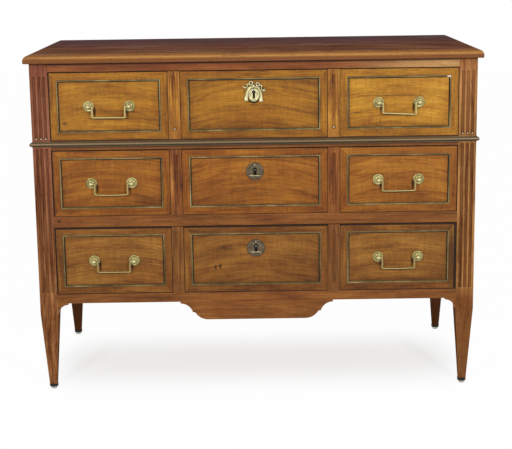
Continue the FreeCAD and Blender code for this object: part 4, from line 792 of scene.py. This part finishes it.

# Cast plate of the top lock: an oval ring hung with drapery from a ribbon bow. Left and right differ as hand
# work does. Each strip is its folds and points (across, up, half width, height) in millimetres from the
# keyhole's eye, each loop its centre, half sizes and turn, and the rims are inset and height. The shadow is
# a near-black strip under the oval: painted shadow of the raised ring.
castPlan = {
    "eyeZ": 788.0, "ovalHalf": (13.7, 16.6), "ovalCentre": -7.8, "around": 96,
    "keyRim": ((0.0, 0.0), (0.0, 3.2), (0.3, 4.0), (1.2, 4.2), (2.2, 3.5)),
    "ovalRim": ((3.0, 3.2), (2.3, 3.8), (1.4, 4.6), (0.7, 4.4), (0.2, 3.2), (0.0, 1.6), (0.0, 0.0)),
    "strips": (
        (3, ((-1.5, 12, 3.8, 3.2), (-7.2, 12.2, 4.0, 3.3), (-11.6, 9, 4.3, 3.3), (-14.5, 3.8, 4.3, 3.3),
             (-17, -2.6, 4.3, 3.3), (-18.4, -8.4, 4.8, 3.4), (-19.5, -13.6, 5.0, 3.6))),
        (3, ((1.5, 11.8, 3.8, 3.2), (7.2, 11.4, 4.0, 3.3), (11.5, 8, 4.3, 3.3), (14.3, 2.8, 4.3, 3.3),
             (16.9, -3.6, 4.3, 3.3), (17.9, -10, 4.7, 3.4), (18.2, -15.6, 5.0, 3.6))),
        (5, ((-19.6, -12.6, 4.4, 4.4), (-19.9, -15.8, 4.9, 4.8), (-19.9, -18.8, 5.4, 4.8),
             (-19.8, -21.8, 5.6, 4.2))),
        (5, ((17.9, -14.6, 4.2, 4.4), (17.7, -18.2, 4.8, 4.8), (17.6, -21.6, 5.2, 4.8),
             (17.4, -24.8, 5.4, 4.2))),
        (0, ((-10.5, 18.5, 1.2, 3.6), (-14.6, 20.4, 1.7, 4.4), (-17.2, 18.6, 1.9, 4.2), (-16.4, 14, 1.6, 3.4),
             (-19.5, 10.6, 1.7, 3.4), (-24, 12.2, 2.1, 4.2), (-28.4, 15.2, 1.3, 3.8))),
        (0, ((13.5, 16.5, 1.2, 3.6), (17.4, 17.2, 1.7, 4.4), (20.4, 14.6, 1.9, 4.2), (18.6, 9.4, 1.6, 3.4),
             (21.4, 5, 1.9, 3.6), (25.4, 3.4, 2.2, 4.2), (30.6, 2.4, 0.9, 3.4))),
        (0, ((24.6, 4.6, 1.4, 3.4), (26.6, 7.2, 1.2, 3.6), (27.8, 9.4, 0.7, 3.0)))),
    "shadow": (
        (-15, -19.5, 1.2, 1.2), (-11.8, -23.2, 1.7, 1.3), (-5.5, -26, 1.9, 1.3), (0.5, -26.8, 1.9, 1.3),
        (7.5, -25.2, 1.8, 1.3), (12.4, -21.2, 1.3, 1.2)),
    "loops": (((-6.9, 22.6), (4.6, 4.2), 20), ((10.4, 19.4), (5.0, 3.6), -52)),
    "loopHalf": 1.55, "loopTall": 4.4, "loopAround": 28,
    "knot": (-0.6, 15.2), "knotHalf": (4.4, 3.6), "knotTall": 5.4, "knotRows": 8, "knotAround": 24}
# Section of the strips: height of the upright edge and of the folds as shares of the crown, and roundness.
stripSection = {"foldedWall": 0.42, "plainWall": 0.25, "fold": 0.16, "round": 0.75, "steps": 18}


# A smooth line through a few drawn points, five steps between each pair.
def flowing(points, steps=5):
    out = []
    for i in range(len(points) - 1):
        quad = [points[min(max(j, 0), len(points) - 1)] for j in (i - 1, i, i + 1, i + 2)]
        for t in (k / steps for k in range(steps)):
            out.append([0.5 * (2 * b + (c - a) * t + (2 * a - 5 * b + 4 * c - d) * t * t
                               + (3 * b - a - 3 * c + d) * t ** 3) for a, b, c, d in zip(*quad)])
    return out + [list(points[-1])]


# A rounded strip standing on the panel, its back folded like cloth where folds are asked for.
def reliefStrip(bm, eyeZ, drawn, folds=0, closed=False, second=math.inf):
    shape = stripSection
    wall, fold = (shape["foldedWall"], shape["fold"]) if folds else (shape["plainWall"], 0.0)
    section = [(1.0, 0.0)]
    for angle in (math.pi * k / (shape["steps"] - 1) for k in range(shape["steps"])):
        lift = wall + (1 - wall) * abs(math.sin(angle)) ** shape["round"] + fold * math.cos(folds * angle)
        section.append((math.cos(angle), lift))
    section.append((-1.0, 0.0))
    rings, total = [], len(drawn)
    for i, (x, z, half, tall) in enumerate(drawn):
        before = drawn[(i - 1) % total] if closed or i else drawn[0]
        after = drawn[(i + 1) % total] if closed or i + 1 < total else drawn[-1]
        ahead = Vector((after[0] - before[0], after[1] - before[1])).normalized()
        sideX, sideZ = ahead.y * half, -ahead.x * half
        rings.append([(x + sideX * aside, panelFloor - tall * lift, eyeZ + z + sideZ * aside)
                      for aside, lift in section])
    skin(bm, rings, closeRings=closed, caps=not closed, secondFrom=second)


bm = bmesh.new()
plan = castPlan
eyeZ, around = plan["eyeZ"], plan["around"]
rings = [keyRing(around, grow, reach, eyeZ, keyhole["topTail"]) for grow, reach in plan["keyRim"]]
for inset, reach in plan["ovalRim"]:
    half = [size - inset for size in plan["ovalHalf"]]
    rings.append(oval((0.0, eyeZ + plan["ovalCentre"]), half, reach, around, 0.5))
skin(bm, rings, closeRings=True)
for folds, points in plan["strips"]:
    reliefStrip(bm, eyeZ, flowing(points), folds)
# The painted shadow under the oval, in the near-black second finish.
reliefStrip(bm, eyeZ, flowing(plan["shadow"]), second=0)
for centre, half, degrees in plan["loops"]:
    tilt = Matrix.Rotation(math.radians(degrees), 2)
    line = [Vector(centre) + tilt @ Vector((half[0] * math.cos(a), half[1] * math.sin(a)))
            for a in circle(plan["loopAround"])]
    reliefStrip(bm, eyeZ, [(p.x, p.y, plan["loopHalf"], plan["loopTall"]) for p in line], closed=True)
knotX, knotZ = plan["knot"]
rings = []
for b in (math.pi / 2 * row / plan["knotRows"] for row in range(plan["knotRows"])):
    half = [size * math.cos(b) for size in plan["knotHalf"]]
    rings.append(oval((knotX, eyeZ + knotZ), half, plan["knotTall"] * math.sin(b), plan["knotAround"]))
skin(bm, rings, caps=True)
mount("ribbonPlate_top", bm, [paleBrassFinish, hollowFinish], "drawer_top",
      "escutcheon_top", crease=50)
# Turned pins that the keys fit over, seen in the eyes of the keyholes: height of the eye, how far forward.
pinPlan = {
    "eyes": {"top": (castPlan["eyeZ"], -5.0), "middle": (588.0, 0.0), "bottom": (386.0, 0.0)}, "around": 24,
    "profile": ((1.75, -6), (1.75, 1.5), (1.6, 2.2), (1.2, 2.7), (0.6, 2.95), (0.1, 3.0))}
for tag, (eyeZ, forward) in pinPlan["eyes"].items():
    bm = bmesh.new()
    profile = [(radius, reach + forward) for radius, reach in pinPlan["profile"]]
    skin(bm, turnedRings((0.0, eyeZ), profile, pinPlan["around"]), caps=True)
    mount("lockPin_" + tag, bm, [pinFinish], "drawer_" + tag)
print("key plates made")


# True for the rays that show the background: seen directly, mirrored or through glass.
def seenRays(add):
    rays = add("LightPath", out=None)
    seen = add("MAXIMUM", (rays["Is Glossy Ray"], rays["Is Transmission Ray"]))
    return add("MAXIMUM", (rays["Is Camera Ray"], seen))


# Floor, light and camera. The paper's white is the share of it that shows however it is lit: less under the
# chest than in the open, which paints a soft shadow there by position.
stageSet = {
    "floor": "#f2f1ef", "rough": 0.9, "reach": 9.0, "paperWhiteAndShadow": (0.70, 0.98), "shadeMiddle": (0, -0.02, 0),
    "shadeSpread": (0.6, 0.31, 1), "shadeEnds": (0.09, 1.0), "shadeSquare": 7.0, "worldLight": 0.48}
floorMesh = bpy.data.meshes.new("studioFloor")
reach = stageSet["reach"]
corners = [(-reach, -reach, 0), (reach, -reach, 0), (reach, reach, 0), (-reach, reach, 0)]
floorMesh.from_pydata(corners, [], [(0, 1, 2, 3)])
floor = bpy.data.objects.new("studioFloor", floorMesh)
scene.collection.objects.link(floor)
# White paper sweep, matt: what the eye sees is nearly white, with its real shadow and a soft painted shadow
# under the chest.
paper, tree, add = newFinish("whitePaperSweep")
matt = tree.nodes["Principled BSDF"]
feed(tree, matt, {"Base Color": stageSet["floor"], "Roughness": stageSet["rough"], "Specular IOR Level": 0.0})
away = add("VectorMath SUBTRACT", (add("TexCoord", out="Object"), stageSet["shadeMiddle"]))
away = add("VectorMath DIVIDE", (away, stageSet["shadeSpread"]))
aside, behind, _ = add("SeparateXYZ", (away,), out=None)
aside = add("POWER", (add("ABSOLUTE", (aside,)), stageSet["shadeSquare"]))
away = add("VectorMath LENGTH", (add("CombineXYZ", (aside, behind, 0.0)),), out="Value")
ends = (away, *stageSet["shadeEnds"], *stageSet["paperWhiteAndShadow"])
white = add("MapRange", ends, interpolation_type="SMOOTHSTEP")
white = add("MULTIPLY", (seenRays(add), white))
shown = add("MixShader", (white, matt.outputs[0], add("Emission", {"Strength": 1.0})))
feed(tree, tree.nodes["Material Output"], {"Surface": shown})
floorMesh.materials.append(paper)

world = bpy.data.worlds.new("studio")
scene.world = world
world.use_nodes = True
sky = world.node_tree
add = partial(put, sky)
strength = add("Mix", {"Factor": seenRays(add), "A": stageSet["worldLight"], "B": 1.0})
feed(sky, sky.nodes["Background"], {"Color": "#ffffff", "Strength": strength})

softboxes = {
    "leftSoftbox": {"at": (-1.5, -3.4, 1.6), "aim": (0, -0.2, 0.5), "size": (0.35, 0.35), "watts": 49},
    "rightSoftbox": {"at": (1.5, -3.4, 1.6), "aim": (0, -0.2, 0.5), "size": (0.35, 0.35), "watts": 56}}
for name, box in softboxes.items():
    lamp = bpy.data.lights.new(name, "AREA")
    lamp.shape = "RECTANGLE"
    lamp.size, lamp.size_y = box["size"]
    lamp.energy = box["watts"]
    lampObject = bpy.data.objects.new(name, lamp)
    lampObject.location = box["at"]
    lampObject.rotation_euler = (Vector(box["aim"]) - Vector(box["at"])).to_track_quat("-Z", "Y").to_euler()
    scene.collection.objects.link(lampObject)

shot = {
    "at": (-0.0057, -3.4193, 1.1345), "focalPixels": 1248.3, "imageWidth": 512, "sensor": 36.0,
    "pitch": -11.15, "yaw": -0.136, "roll": 0.80, "shift": -0.05}
lens = bpy.data.cameras.new("photoCamera")
lens.sensor_width = shot["sensor"]
lens.lens = shot["focalPixels"] / shot["imageWidth"] * shot["sensor"]
lens.shift_y = shot["shift"]
camera = bpy.data.objects.new("photoCamera", lens)
camera.location = shot["at"]
turn = Euler((math.radians(90 + shot["pitch"]), 0, math.radians(shot["yaw"]))).to_matrix()
camera.rotation_euler = (turn @ Matrix.Rotation(math.radians(-shot["roll"]), 3, "Z")).to_euler()
scene.collection.objects.link(camera)
scene.camera = camera
print("floor, light and camera set")
